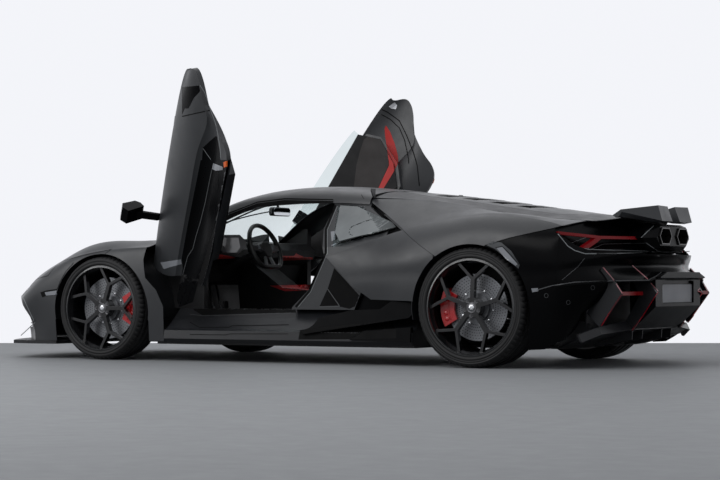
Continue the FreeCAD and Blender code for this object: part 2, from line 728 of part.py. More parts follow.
def tail_ledge():
    """The lip along the tail, raised in the middle, and the block under it that takes the plate."""
    plan = near_axle(rear_x, both_sides(ledge_plan))
    inner = near_axle(rear_x, both_sides([(-400, 990), (-500, 981), (-570, 962), (-650, 860), (-740, 690), (-860, 430)]))
    rim = slab_z(plan, 400, 640).cut(slab_z(inner, 399, 641)).cut(box(rear_x(-440), rear_x(-300), -960, 960, 300, 700))
    band = near_axle(rear_x, ledge_side) + near_axle(rear_x, [(x, z - ledge_wall) for x, z in reversed(ledge_side)])
    sides = rim.common(side_region(band)).cut(box(rear_x(-1300), rear_x(-800), -440, 440, 300, 700))
    underside = [(y, z - ledge_wall) for y, z in across(ledge_rise)]
    arch = slab_x(across(ledge_rise) + underside[::-1], rear_x(-985), rear_x(-850))
    top_plan = slab_z(near_axle(rear_x, both_sides([(-850, 440), (-946, 440), (-982, 280)])), 400, 640)
    block = slab_y(near_axle(rear_x, block_line), -block_half, block_half)
    block = block.common(slab_x(across([(block_half, 200), (block_half, 553), (281, 579)]), -3000, 0))
    block = block.cut(slab_y(near_axle(rear_x, block_hollow), 12 - block_half, block_half - 12))
    block = block.cut(box(rear_x(-1100), rear_x(plate_face), -plate_half_width, plate_half_width, plate_low, plate_high))
    return sides.Solids + [biggest(arch.common(top_plan)), biggest(block)]


def tail_blades():
    """On each side two upright fins and the ribbon that joins their feet."""
    sections = []
    for y, top, low in ribbon_stations:
        outline = near_axle(rear_x, [top, low, (low[0] + ribbon_wall, low[1] + 3), (top[0] + ribbon_wall, top[1])])
        points = [V(x, y, z) for x, z in outline]
        sections.append(Part.makePolygon(points + [points[0]]))
    ribbon = Part.makeLoft(sections, True, True)
    shapes = [ribbon]
    for y, outline in ((outer_fin_y, outer_fin), (inner_fin_y, inner_fin)):
        shapes.append(slab_y(near_axle(rear_x, outline), y - fin_half, y + fin_half))
    left = fuse(shapes)
    return left.Solids + flip(left).Solids


def tail_lamps(panel):
    """Each lamp is a bar that forks outwards, behind the line of the tail; a bar lies between the fins too."""
    surface = whole_rows([[rear(*p) for p in row] + [end] for row, end in zip(tail_rows[:3], lamp_ends())])
    depth = layer([surface], 20, 45)
    bar = slab_x([(340, 783), (640, 783), (935, 809), (935, 827), (640, 801), (340, 801)], rear_x(-1200), rear_x(-450))
    fork = slab_x([(628, 790), (790, 716), (812, 728), (652, 800)], rear_x(-1200), rear_x(-450))
    lamp = clear_of(depth.common(bar.fuse(fork)), panel)
    strip = box(rear_x(-874), rear_x(-860), inner_fin_y + fin_half, outer_fin_y - fin_half, 442, 464)
    return [lamp, flip(lamp), strip, flip(strip)]


def lamp_ends():
    return [rear(dx, side_y(inset), z) for dx, inset, z in [line[-1] for line in haunch_lines[:3]]]


diffuser_start = -430.0
diffuser_end = -780.0
diffuser_rise = 116.0
tunnel_wall = -640.0


def build_diffuser():
    ramp = slab_y(near_axle(rear_x, [(diffuser_start, floor_height), (diffuser_start, floor_height + floor_thickness),
                                     (diffuser_end, floor_height + floor_thickness + diffuser_rise),
                                     (diffuser_end, floor_height + diffuser_rise)]), -840, 840)
    plan = near_axle(rear_x, both_sides([(diffuser_start, 590), (-445, 700), (-632, 826), (-700, 736), (-722, 725),
                                         (diffuser_end, inner_fin_y)]))
    ramp = ramp.common(slab_z(plan, 0, 400))
    wall_half = outer_fin_y - fin_half
    wall = slab_y(near_axle(rear_x, [(tunnel_wall, 180), (tunnel_wall + 12, 180), (tunnel_wall + 12, 530),
                                     (tunnel_wall, 530)]), -wall_half, wall_half)
    shapes = [biggest(ramp), wall]
    for y in (160, 320):
        strake = slab_y(near_axle(rear_x, [(-520, 138), (-520, 120), (-770, 170), (-775, 230)]), y - 4, y + 4)
        shapes += [strake, flip(strake)]
    diffuser = clear_of(fuse(shapes), *parts["tail_blades"].Solids)
    keep("diffuser", clear_of(diffuser, parts["rear_bumper"]))


wing_stations = [
    (60, [(-700, 936), (-901, 992), (-935, 898), (-885, 888), (-725, 920)]),
    (250, [(-705, 934), (-915, 994), (-942, 898), (-890, 888), (-728, 918)]),
    (490, [(-715, 930), (-768, 964), (-774, 950), (-756, 922), (-735, 915)]),
]


def build_wing(limits):
    sections = []
    for y, outline in wing_stations:
        points = [V(x, y, z) for x, z in near_axle(rear_x, outline)]
        sections.append(Part.makePolygon(points + [points[0]]))
    half = Part.makeLoft(sections, True, True)
    bridge = slab_y(near_axle(rear_x, [(-700, 936), (-800, 960), (-790, 915), (-725, 915)]), -61, 61)
    wing = fuse([half, flip(half), bridge]).cut(limits["deck_inside"])
    keep("rear_wing", clear_of(wing, parts["tail_panel"]))


# Sills, side frames, floor, frames and wheelhouses
quarter_low_y = 832.0
quarter_low_z = 745.0
quarter_top_y = 650.0
quarter_top_z = 1012.0
rail_inner = 330.0
rail_outer = 352.0
sill_top = 345.0
sill_outline = [(650, 126.4), (945, 126.4), (966, 150), (960, 205), (930, 216), (835, 290), (775, sill_top),
                (650, sill_top)]
aperture_line = [(1178, 860), (1125, 693), (1230, 477), (1362, 357), (1362, sill_top)]
cabin_floor = 172.0
blade_line = [(1235, 262), (855, 345), (650, 352), (560, 412), (418, 412), (414, 330), (440, 300), (1200, 190)]
scoop_floor = [(860, 344), (650, 352), (560, 412), (418, 412), (418, 402), (556, 402), (648, 342), (860, 334)]
scoop_wall = [(900, 345), (1000, 620), (1060, 700), (760, 640), (600, 600), (440, 540), (418, 402), (560, 345)]
scoop_wall_y = 812.0
scoop_wall_thickness = 8.0
kick_line = [(857, 159), (756, 217), (425, 243), (422, 150)]


def build_structure(front_limit, roof_limit, limits, lid_block, cover_block):
    sill = slab_x(sill_outline, rear_axle + 420, front_axle - 505 - seat_gap)
    keep_both("sills", sill)

    frame_outline = near_axle(rear_x, [(1160, 1120), (1158, 1018)] + aperture_line + [
        (900, sill_top), (840, 480), (860, 700), (700, 820), (700, 880), (885, 1000), (885, 1120)])
    window = near_axle(rear_x, [(1072, 790), (1108, 990), (925, 990), (770, 862), (930, 812)])
    glass_lean = 1.3 * (glass_thickness + seat_gap)
    lean = slab_x([(quarter_top_y - glass_lean, 1200), (quarter_top_y - glass_lean, quarter_top_z),
                   (quarter_low_y - glass_lean, quarter_low_z), (840, 680), (840, 300), (900, 300), (900, 1200)],
                  -1500, 500)
    inside = slab_x([(500, 1200), (590, 1200), (590, 1060), (780, 760), (780, 650), (640, 650), (640, 300), (500, 300)],
                    -1500, 500)
    frame = slab_y(frame_outline, 560, 840).cut(slab_y(window, 500, 900)).cut(lean).cut(inside)
    frame = frame.cut(roof_limit).cut(limits["haunch"]).cut(limits["deck"])
    side_frame = clear_of(frame, quarter_pane())
    keep_both("side_frames", side_frame)
    keep_both("side_blades", *side_blades(sill, side_frame))

    top = floor_height + floor_thickness
    floor = slab_z(near_axle(rear_x, [(560, -640), (wheelbase - 385, -640), (wheelbase - 385, 640), (560, 640)]),
                   top, cabin_floor)
    wall_front = lid_rear - lid_hinge_gap - 4
    front_wall = slab_y(near_axle(front_x, [(-420, cabin_floor), (-372, 480), (-372, 700), (-345, 900),
                                               (wall_front, 900), (wall_front, 740), (-335, 690), (-335, 480),
                                               (-385, cabin_floor)]), -640, 640)
    front_wall = front_wall.cut(front_limit).cut(roof_limit)
    footwell = box(front_axle - 640, front_axle - 340, 640, 690, sill_top, 900).cut(front_limit).cut(roof_limit)
    wall_rear = cover_front + lid_hinge_gap + 4
    rear_wall = slab_y(near_axle(rear_x, [(560, cabin_floor), (620, cabin_floor), (880, 900), (880, 1150),
                                             (wall_rear, 1150), (wall_rear - 40, 900)]), -590, 590)
    rear_wall = biggest(rear_wall.cut(limits["deck"]))
    footwell = biggest(footwell)
    tub = fuse([floor, biggest(front_wall), footwell, flip(footwell), rear_wall])
    lid_block = fuse([lid_block, box(front_axle + wall_front - 6, front_axle + lid_rear - lid_hinge_gap + 2, 430, 446,
                                     lid_rear_height - lid_hinge_drop - lid_knuckle_radius,
                                     lid_rear_height - lid_hinge_drop + lid_knuckle_radius)])
    pin = door_pin()
    tub = fuse([tub, lid_block, flip(lid_block), cover_block, flip(cover_block), pin, flip(pin)])
    keep("tub", tub)

    outline = near_axle(front_x, [(splitter_rear - seat_gap, 540), (-400, 540), (-410, 900)])
    outline += near_axle(rear_x, [(430, 900), (420, 590), (diffuser_start, 590)])
    keep("undertray", slab_z(both_sides(outline), floor_height, top))

    rail = box(front_axle - 400, front_x(540), rail_inner, rail_outer, 190, 470)
    beam = box(front_x(540), front_x(590), -620, 620, 355, 400)
    cross = box(front_axle + 500, front_x(540), -rail_inner, rail_inner, 190, 250)
    nose_post = box(front_x(590), front_x(nose + 40), 262, 318, 150, 395).cut(front_limit)
    rails = fuse([rail, flip(rail), beam, cross, biggest(nose_post), flip(biggest(nose_post))])
    front_frame = biggest(rails.cut(tub))

    bay = box(front_axle - 300, front_axle + 500, -rail_inner + 1, rail_inner - 1, 200, 560)
    hollow = box(front_axle - 296, front_axle + 496, -rail_inner + 5, rail_inner - 5, 204, 600)
    keep("luggage_box", bay.cut(hollow))

    back_rail = box(rear_x(-600), rear_axle + 640, rail_inner, rail_outer, 230, 500)
    post = box(rear_x(-600), rear_x(-560), rail_inner, rail_outer, 500, 900)
    reach = box(rear_x(-900), rear_x(-600), rail_inner, rail_outer, 610, 670)
    back = fuse([back_rail, post, reach]).cut(limits["tail"])
    wall_cut = slab_y(near_axle(rear_x, [(560, cabin_floor), (820, 900), (1200, 900), (1200, 100), (560, 100)]), 0, 640)
    back = clear_of(back, wall_cut, tub, parts["rear_bumper"])
    tie = box(rear_x(-600), rear_x(-560), -rail_inner, rail_inner, 440, 500)
    keep("subframes", gathered([front_frame, fuse([back, flip(back), tie])]))
    keep("engine_block", box(rear_axle - 60, rear_axle + 520, -rail_inner, rail_inner, 240, 820))


def side_blades(sill, side_frame):
    """The scoop ahead of the rear wheel: its outer blade, floor and inner wall, and the low kick on the sill."""
    lean = slab_x([(950, 180), (985, 180), (945, 415), (915, 415)], rear_x(380), rear_x(1300))
    blade = slab_y(near_axle(rear_x, blade_line), 900, 1000).common(lean)
    floor = slab_y(near_axle(rear_x, scoop_floor), scoop_wall_y, 925)
    wall = slab_y(near_axle(rear_x, scoop_wall), scoop_wall_y - scoop_wall_thickness, scoop_wall_y)
    scoop = fuse([blade, floor, wall])
    kick_lean = slab_x([(940, 140), (985, 140), (968, 250), (940, 250)], rear_x(380), rear_x(1000))
    kick = slab_y(near_axle(rear_x, kick_line), 930, 1000).common(kick_lean)
    return clear_of(scoop, sill, side_frame), clear_of(kick, sill, blade)


def arch_liner(axle, centre_z, radius, inner_y, plate_y, limit, rail_z):
    shell = tube_y(axle, centre_z, radius + liner_wall, inner_y, half_width)
    shell = shell.cut(tube_y(axle, centre_z, radius, inner_y - 10, half_width + 10))
    shell = shell.cut(box(axle - 600, axle + 600, inner_y - 10, half_width + 10, 0, centre_z - 60))
    plate = tube_y(axle, centre_z, radius + liner_wall, plate_y, plate_y + liner_wall)
    plate = plate.cut(box(axle - 600, axle + 600, plate_y - 10, plate_y + 10, 0, rail_z[0]))
    plate = plate.cut(box(axle - 190, axle + 190, plate_y - 10, plate_y + 10, 0, rail_z[1] + 40))
    bracket = box(axle - 330, axle - 290, rail_outer, plate_y, rail_z[0] + 60, rail_z[1] - 60)
    ahead = box(axle + 290, axle + 330, rail_outer, plate_y, rail_z[0] + 60, rail_z[1] - 60)
    return fuse([shell, plate, bracket, ahead]).cut(limit)


def build_wheelhouses(front_limit, front_joiners, limits, haunch_joiner):
    front_house = arch_liner(front_axle, front_arch_height, front_liner_radius, 540, 540, front_limit, (190, 470))
    keep_both("wheelhouses_front", clear_of(front_house, parts["tub"], *front_joiners))
    rear_house = arch_liner(rear_axle, rear_arch_height, rear_liner_radius, 590, 590, limits["haunch"], (230, 500))
    keep_both("wheelhouses_rear", clear_of(rear_house, limits["deck"], haunch_joiner, parts["rear_bumper"]))


# Doors, drawn closed on the left and then swung about the hinge
def hinge_point(side):
    return V(front_x(door_hinge_dx), side * door_hinge_y, door_hinge_z)


def hinge_axis(side):
    axis = V(side * door_axis_sweep, 1.0, side * door_axis_lean)
    return axis.normalize()


def swing(shape, side):
    moved = shape.copy()
    moved.rotate(hinge_point(side), hinge_axis(side), door_open_angle)
    return moved


door_belt = [(-478, 120, 826), (-700, 114, 832), (-950, 108, 838), (-1250, 106, 846), (-1550, 108, 852),
             (-1810, 112, 850), (-1950, 112, 822)]
door_lines = [
    door_belt,
    [(-480, 96, 760), (-700, 88, 765), (-950, 82, 770), (-1250, 80, 780), (-1550, 80, 785), (-1810, 82, 780),
     (-1975, 88, 770)],
    [(-500, 84, 660), (-700, 72, 662), (-950, 64, 664), (-1250, 60, 668), (-1550, 60, 672), (-1810, 64, 690),
     (-2000, 76, 700)],
    [(-560, 76, 545), (-720, 66, 540), (-950, 58, 533), (-1250, 54, 530), (-1520, 56, 530), (-1700, 62, 500),
     (-1830, 72, 560)],
]
door_low_lines = [
    [(-600, 110, 440), (-720, 112, 430), (-950, 112, 424), (-1250, 110, 420), (-1480, 100, 410), (-1600, 90, 400),
     (-1740, 84, 430)],
    [(-640, 76, 280), (-740, 62, 250), (-950, 52, 228), (-1250, 46, 226), (-1450, 42, 226), (-1590, 44, 232),
     (-1690, 60, 320)],
]
glass_rows = [
    [(-600, 150, 610), (-800, 148, 615), (-1100, 146, 620), (-1400, 148, 622), (-1560, 150, 622)],
    [(-600, 172, 780), (-800, 172, 784), (-1100, 170, 790), (-1400, 172, 792), (-1575, 174, 792)],
    [(-640, 214, 880), (-800, 216, 915), (-1100, 216, 930), (-1400, 216, 925), (-1590, 216, 905)],
]


def door_pin():
    start = hinge_point(1) - hinge_axis(1) * 190
    pin = Part.makeCylinder(hinge_pin_radius, 170, start, hinge_axis(1))
    return biggest(pin.cut(box(-3000, 3000, -100, 680, 0, 2000)))


def build_doors():
    lines = [[front(dx, side_y(inset), z) for dx, inset, z in line] for line in door_lines + door_low_lines]
    upper = rows_of(lines[:4])
    lower = rows_of(lines[3:])

    def pushed(grid, depth):
        return [[V(p.x, p.y - depth, p.z) for p in row] for row in grid]

    outer = closed_solid([upper, lower], [pushed(upper, door_skin_depth), pushed(lower, door_skin_depth)])
    room_depth = door_skin_depth + door_room
    room = closed_solid([pushed(upper, -door_room), pushed(lower, -door_room)],
                        [pushed(upper, room_depth), pushed(lower, room_depth)])
    blades = [solid for solid in parts["side_blades"].Solids if solid.CenterOfMass.y > 0]
    for shift in (V(0, 0, 0), V(-door_gap, 0, 0), V(0, 0, -door_gap), V(-0.8 * door_gap, 0, -0.8 * door_gap)):
        taken = room.copy()
        taken.translate(shift)
        blades = [biggest(blade.cut(taken)) for blade in blades]
    keep_both("side_blades", *blades)
    gap_line = near_axle(rear_x, [(dx + door_gap, z) for dx, z in aperture_line[:4]])
    frame_outline = near_axle(front_x, [(-560, 800)]) + gap_line[:1] + gap_line[1:3]
    frame_outline += [(gap_line[3][0] + 4, sill_top + door_gap + 6)]
    frame_outline += near_axle(front_x, [(-760, sill_top + door_gap), (-660, 470)])
    frame_outer = side_y(door_skin_depth + 78)
    inner_face = frame_outer - door_frame_depth
    frame = slab_y(frame_outline, inner_face, frame_outer)
    lean = slab_x([(inner_face - 10, 900), (inner_face - 10, 800), (frame_outer - 60, 800), (frame_outer - 20, 842),
                   (frame_outer + 10, 900)], -2000, 2000)
    door = outer.fuse(frame.cut(lean))
    pane_rows = [[front(dx, side_y(inset), z) for dx, inset, z in line] for line in glass_rows]
    pocket = layer([pane_rows], -2, glass_thickness + 2)
    glass = skin([pane_rows], glass_thickness)
    axis, hinge = hinge_axis(1), hinge_point(1)
    arm = slab_y([(hinge.x + 34, hinge.z - 14), (hinge.x + 10, hinge.z + 34), (hinge.x - 60, hinge.z + 60),
                  (hinge.x - 160, hinge.z + 60), (hinge.x - 160, hinge.z - 60), (hinge.x - 20, hinge.z - 34)],
                 inner_face + 4, inner_face + 30)
    pin_start = hinge - axis * 190
    hole = Part.makeCylinder(hinge_pin_radius + hinge_fit, 240, pin_start, axis)
    door = door.cut(pocket).fuse(arm).cut(hole)
    trim_outline = [(x + (20 if x < front_x(-1200) else -20), z + (16 if z < 600 else -16))
                    for x, z in frame_outline]
    trim = slab_y(trim_outline, inner_face - 24, inner_face)
    trim = trim.cut(Part.makeCylinder(60, 300, hinge - axis * 200, axis))
    cap = slab_x([(985, 915), (1120, 905), (1130, 960), (1100, 1000), (1000, 995), (980, 960)],
                 front_x(-900), front_x(-800))
    stalk = slab_x([(900, 830), (925, 830), (1040, 915), (1010, 920)], front_x(-870), front_x(-820))
    mirror = fuse([cap, stalk]).cut(outer)
    for side, label in ((1, "left"), (-1, "right")):
        for stem, shape in (("door", biggest(door)), ("door_trim", trim), ("door_glass", glass),
                            ("mirror", biggest(mirror))):
            placed = shape if side == 1 else flip(shape)
            keep(stem + "_" + label, swing(placed, side))


def quarter_pane():
    rows = [
        [rear(1065, quarter_low_y, quarter_low_z), rear(1130, quarter_top_y, quarter_top_z)],
        [rear(930, quarter_low_y - 14, 788), rear(1040, quarter_top_y - 4, 1014)],
        [rear(740, quarter_low_y - 42, 848), rear(930, quarter_top_y + 10, 1000)],
    ]
    return skin([rows], glass_thickness)


def build_glazing(windscreen):
    quarter = quarter_pane()
    keep("glazing", gathered([windscreen, quarter, flip(quarter)]))


# Cabin
def build_cabin(screen_frame):
    roof_panel_shape = parts["roof_panel"]
    dash = slab_y(near_axle(front_x, [(-420, 500), (-373, 500), (-373, 745), (-430, 800), (-640, 790), (-700, 740),
                                         (-700, 690), (-600, 640), (-560, 520)]), -639, 639)
    console = slab_y(near_axle(front_x, [(-570, cabin_floor), (-540, 500), (-590, 630), (-640, 660), (-900, 480),
                                            (-1500, 430), (-1500, cabin_floor)]), -120, 120)
    profile = [(-900, cabin_floor), (-880, 300), (-1400, 260), (-1620, 760), (-1600, 900), (-1680, 900),
               (-1725, 740), (-1540, 190), (-1540, cabin_floor)]
    seat = slab_y(near_axle(front_x, profile), seat_centre - seat_width / 2 + 15, seat_centre + seat_width / 2)
    keep_both("seats", seat)

    centre = front(-918, seat_centre, 743)
    ring = Part.makeTorus(wheel_ring_radius, wheel_ring_tube, V(0, 0, 0), V(0, 0, 1))
    bar = box(-22, 22, -wheel_ring_radius, wheel_ring_radius, -10, 10)
    hub = Part.makeCylinder(48, 60, V(0, 0, -40), V(0, 0, 1))
    column = Part.makeCylinder(26, column_length, V(0, 0, -40 - seat_gap - column_length), V(0, 0, 1))
    wheel = fuse([ring, bar, hub])
    for shape in (wheel, column):
        shape.rotate(V(0, 0, 0), V(0, 1, 0), -(90 - wheel_tilt))
        shape.translate(centre)
    keep("steering_wheel", wheel)
    keep("dashboard", clear_of(fuse([dash, console, column]), screen_frame, roof_panel_shape))


# Wheels, built about the origin with the outside towards +Y
disc_inset = 130.0
hub_depth = 60.0
spoke_inset = 32.0
caliper_inner = 145.0
caliper_outer = 240.0
caliper_half_angle = 30.0
ball_radius = 18.0
upright_half = 95.0
upright_thickness = 50.0


def tyre_shape(radius, width, rim_radius):
    half = width / 2
    inner = rim_radius + 2
    section = [(inner, -half + 8), (inner + 14, -half), (radius - tyre_shoulder, -half),
               (radius - 6, -half + tyre_shoulder), (radius, -half + 2 * tyre_shoulder),
               (radius, half - 2 * tyre_shoulder), (radius - 6, half - tyre_shoulder),
               (radius - tyre_shoulder, half), (inner + 14, half), (inner, half - 8)]
    face = face_of([V(r, y, 0) for r, y in section])
    return face.revolve(V(0, 0, 0), V(0, 1, 0), 360)


def rim_shape(rim_radius, width, spoke_turn):
    half = width / 2 - 10
    outer = rim_radius + 2
    section = [(outer, -half), (outer, half), (outer - 14, half + 4), (outer - 16, half - 10),
               (outer - rim_wall - 20, half - 40), (outer - rim_wall - 20, -half + 20), (outer - 10, -half)]
    barrel = face_of([V(r, y, 0) for r, y in section]).revolve(V(0, 0, 0), V(0, 1, 0), 360)
    face_y = width / 2 - spoke_inset
    hub = tube_y(0, 0, hub_radius, face_y - hub_depth, face_y)
    shapes = [barrel, hub]
    step = 360.0 / spoke_pairs
    reach = rim_radius - 12
    fork = fork_share * rim_radius
    for k in range(spoke_pairs):
        turn = k * step + spoke_turn
        shapes.append(spoke_bar(hub_radius * 0.6, 0, fork, 0, spoke_half, face_y, turn))
        for sign in (-1, 1):
            end = math.radians(sign * prong_angle)
            shapes.append(spoke_bar(fork - 6, 0, reach * math.cos(end), reach * math.sin(end), prong_half, face_y, turn))
    wheel = fuse(shapes)
    return wheel.cut(tube_y(0, 0, bore_radius, face_y - hub_depth - 20, face_y + 20))


def spoke_bar(x0, z0, x1, z1, half_bar, face_y, turn):
    length = math.hypot(x1 - x0, z1 - z0)
    nx, nz = -(z1 - z0) / length * half_bar, (x1 - x0) / length * half_bar
    outline = [(x0 + nx, z0 + nz), (x1 + nx, z1 + nz), (x1 - nx, z1 - nz), (x0 - nx, z0 - nz)]
    bar = slab_y(outline, face_y - spoke_depth, face_y)
    bar.rotate(V(0, 0, 0), V(0, 1, 0), -turn)
    return bar


def disc_shape():
    half = disc_thickness / 2
    hat_end = disc_inset - spoke_inset - hub_depth
    ring = tube_y(0, 0, disc_radius, -half, half)
    ring = ring.cut(tube_y(0, 0, disc_hat_radius - 12, -half - 1, half + 1))
    hat = tube_y(0, 0, disc_hat_radius, -half, hat_end)
    return fuse([ring, hat]).cut(tube_y(0, 0, bore_radius, -half - 1, hat_end + 1))


def build_wheels():
    linkage = []
    for axle, label, half_track, width, radius, rim_radius, turn in (
            (front_axle, "front", front_half_track, front_tyre_width, front_tyre_radius, front_rim_radius,
             front_spoke_turn),
            (rear_axle, "rear", rear_half_track, rear_tyre_width, rear_tyre_radius, rear_rim_radius,
             rear_spoke_turn)):
        tyre = tyre_shape(radius, width, rim_radius)
        rim = rim_shape(rim_radius, width, turn)
        disc = disc_shape()
        disc.translate(V(0, width / 2 - disc_inset, 0))
        place = V(axle, half_track, radius)
        for stem, shape in (("tyre", tyre), ("rim", rim), ("brake_disc", disc)):
            shape.translate(place)
            keep_pair(stem + "_" + label, shape)
        disc_y = half_track + width / 2 - disc_inset
        back = disc_y - disc_thickness / 2 - 2 * running_gap
        spindle = tube_y(axle, radius, bore_radius - hinge_fit, back - 20, disc_y + 60)
        upright = slab_y([(axle - 60, radius - upright_half), (axle + 60, radius - upright_half),
                          (axle + 45, radius + upright_half), (axle - 45, radius + upright_half)],
                         back - upright_thickness, back)
        direction = -1 if label == "front" else 1
        caliper = tube_y(axle, radius, caliper_outer, disc_y - 55, disc_y + 44)
        caliper = caliper.cut(tube_y(axle, radius, caliper_inner, disc_y - 60, disc_y + 50))
        tip_x = axle + direction * 400
        tip_z = 400 * math.tan(math.radians(caliper_half_angle))
        wedge = slab_y([(axle, radius), (tip_x, radius - tip_z), (tip_x, radius + tip_z)], disc_y - 60, disc_y + 50)
        caliper = caliper.common(wedge)
        caliper = caliper.cut(tube_y(axle, radius, disc_radius + running_gap, disc_y - disc_thickness / 2 - running_gap,
                                     disc_y + disc_thickness / 2 + running_gap))
        start, stop = sorted((axle + direction * 30, axle + direction * 200))
        bracket = box(start, stop, back - 30, back - 10, radius - 40, radius + 40)
        knuckle = fuse([spindle, upright, bracket])
        caliper = biggest(caliper.cut(knuckle))
        if label == "front":
            keep_pair("knuckle", knuckle)
            keep_pair("caliper", caliper)
        else:
            keep_both("rear_uprights", knuckle)
            keep_both("rear_calipers", caliper)
        ball_y = back - upright_thickness / 2
        arms = []
        for sign in (-1, 1):
            ball_z = radius + sign * (upright_half + seat_gap + ball_radius)
            arms.append(Part.makeSphere(ball_radius, V(axle, ball_y, ball_z)))
            for reach in (-150, 150):
                arms.append(rod(V(axle, ball_y, ball_z), V(axle + reach, rail_outer - 10, ball_z), 12))
        linkage.append(gathered([fuse(arms).cut(box(axle - 400, axle + 400, 0, rail_outer, 0, 900))]))
    keep_both("suspension_arms", *linkage)


front_limit, lid_block, front_joiners = build_front()
roof_limit, windscreen, screen_frame = build_roof()
limits, cover_block, haunch_joiner = build_rear()
build_diffuser()
build_wing(limits)
build_structure(front_limit, roof_limit, limits, lid_block, cover_block)
build_wheelhouses(front_limit, front_joiners, limits, haunch_joiner)
build_doors()
build_glazing(windscreen)
keep("body_joiners", gathered([screen_frame] + [part for joiner in front_joiners + [haunch_joiner]
                                                for part in (joiner, flip(joiner))]))
build_cabin(screen_frame)
build_wheels()

os.makedirs("parts", exist_ok=True)
for name, shape in parts.items():
    shape.exportStep("parts/" + name + ".step")
    good = "ok" if shape.isValid() and shape.Volume > 0 else "BAD"
    print(name, good, len(shape.Solids), round(shape.Volume / 1e6, 2), [round(v) for v in (
        shape.BoundBox.XMin, shape.BoundBox.XMax, shape.BoundBox.YMin, shape.BoundBox.YMax,
        shape.BoundBox.ZMin, shape.BoundBox.ZMax)])
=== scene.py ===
import json
import math

import bmesh
import bpy
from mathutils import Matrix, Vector
from mathutils.bvhtree import BVHTree


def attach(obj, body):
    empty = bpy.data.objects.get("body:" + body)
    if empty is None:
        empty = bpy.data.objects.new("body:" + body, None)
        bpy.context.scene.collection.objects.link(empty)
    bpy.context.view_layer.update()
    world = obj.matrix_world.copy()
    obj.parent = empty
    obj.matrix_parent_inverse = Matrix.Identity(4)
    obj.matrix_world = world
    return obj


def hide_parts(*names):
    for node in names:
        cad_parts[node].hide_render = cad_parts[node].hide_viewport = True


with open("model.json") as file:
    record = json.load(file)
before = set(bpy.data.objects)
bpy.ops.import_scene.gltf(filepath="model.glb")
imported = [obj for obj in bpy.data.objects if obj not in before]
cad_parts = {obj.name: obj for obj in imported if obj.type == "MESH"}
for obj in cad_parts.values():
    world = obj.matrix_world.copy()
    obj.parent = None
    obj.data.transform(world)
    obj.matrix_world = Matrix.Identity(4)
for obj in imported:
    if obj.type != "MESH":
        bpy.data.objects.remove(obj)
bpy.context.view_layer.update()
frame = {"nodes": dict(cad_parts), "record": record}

scene = bpy.context.scene
nodes = frame["nodes"]
record = frame["record"]

front_axle = 1.3005
rear_axle = -1.4785
whole_turn = 2 * math.pi
sides = (("left", 1), ("right", -1))

# Camera at the photograph's place
image_width = 720
image_height = 480
focal_pixels = 2166.5
camera_place = Vector((-7.4022, 12.7138, 0.5413))
camera_yaw = math.radians(29.732)
camera_pitch = math.radians(1.028)
forward = Vector((math.sin(camera_yaw) * math.cos(camera_pitch),
                  -math.cos(camera_yaw) * math.cos(camera_pitch), math.sin(camera_pitch)))
rightward = forward.cross(Vector((0, 0, 1))).normalized()
upward = rightward.cross(forward)


def add_camera():
    data = bpy.data.cameras.new("camera")
    data.sensor_width = 36.0
    data.lens = data.sensor_width * focal_pixels / image_width
    data.clip_end = 200.0
    camera = bpy.data.objects.new("camera", data)
    scene.collection.objects.link(camera)
    camera.location = camera_place
    camera.rotation_euler = forward.to_track_quat("-Z", "Y").to_euler()
    scene.camera = camera


add_camera()
scene.view_settings.view_transform = "Standard"


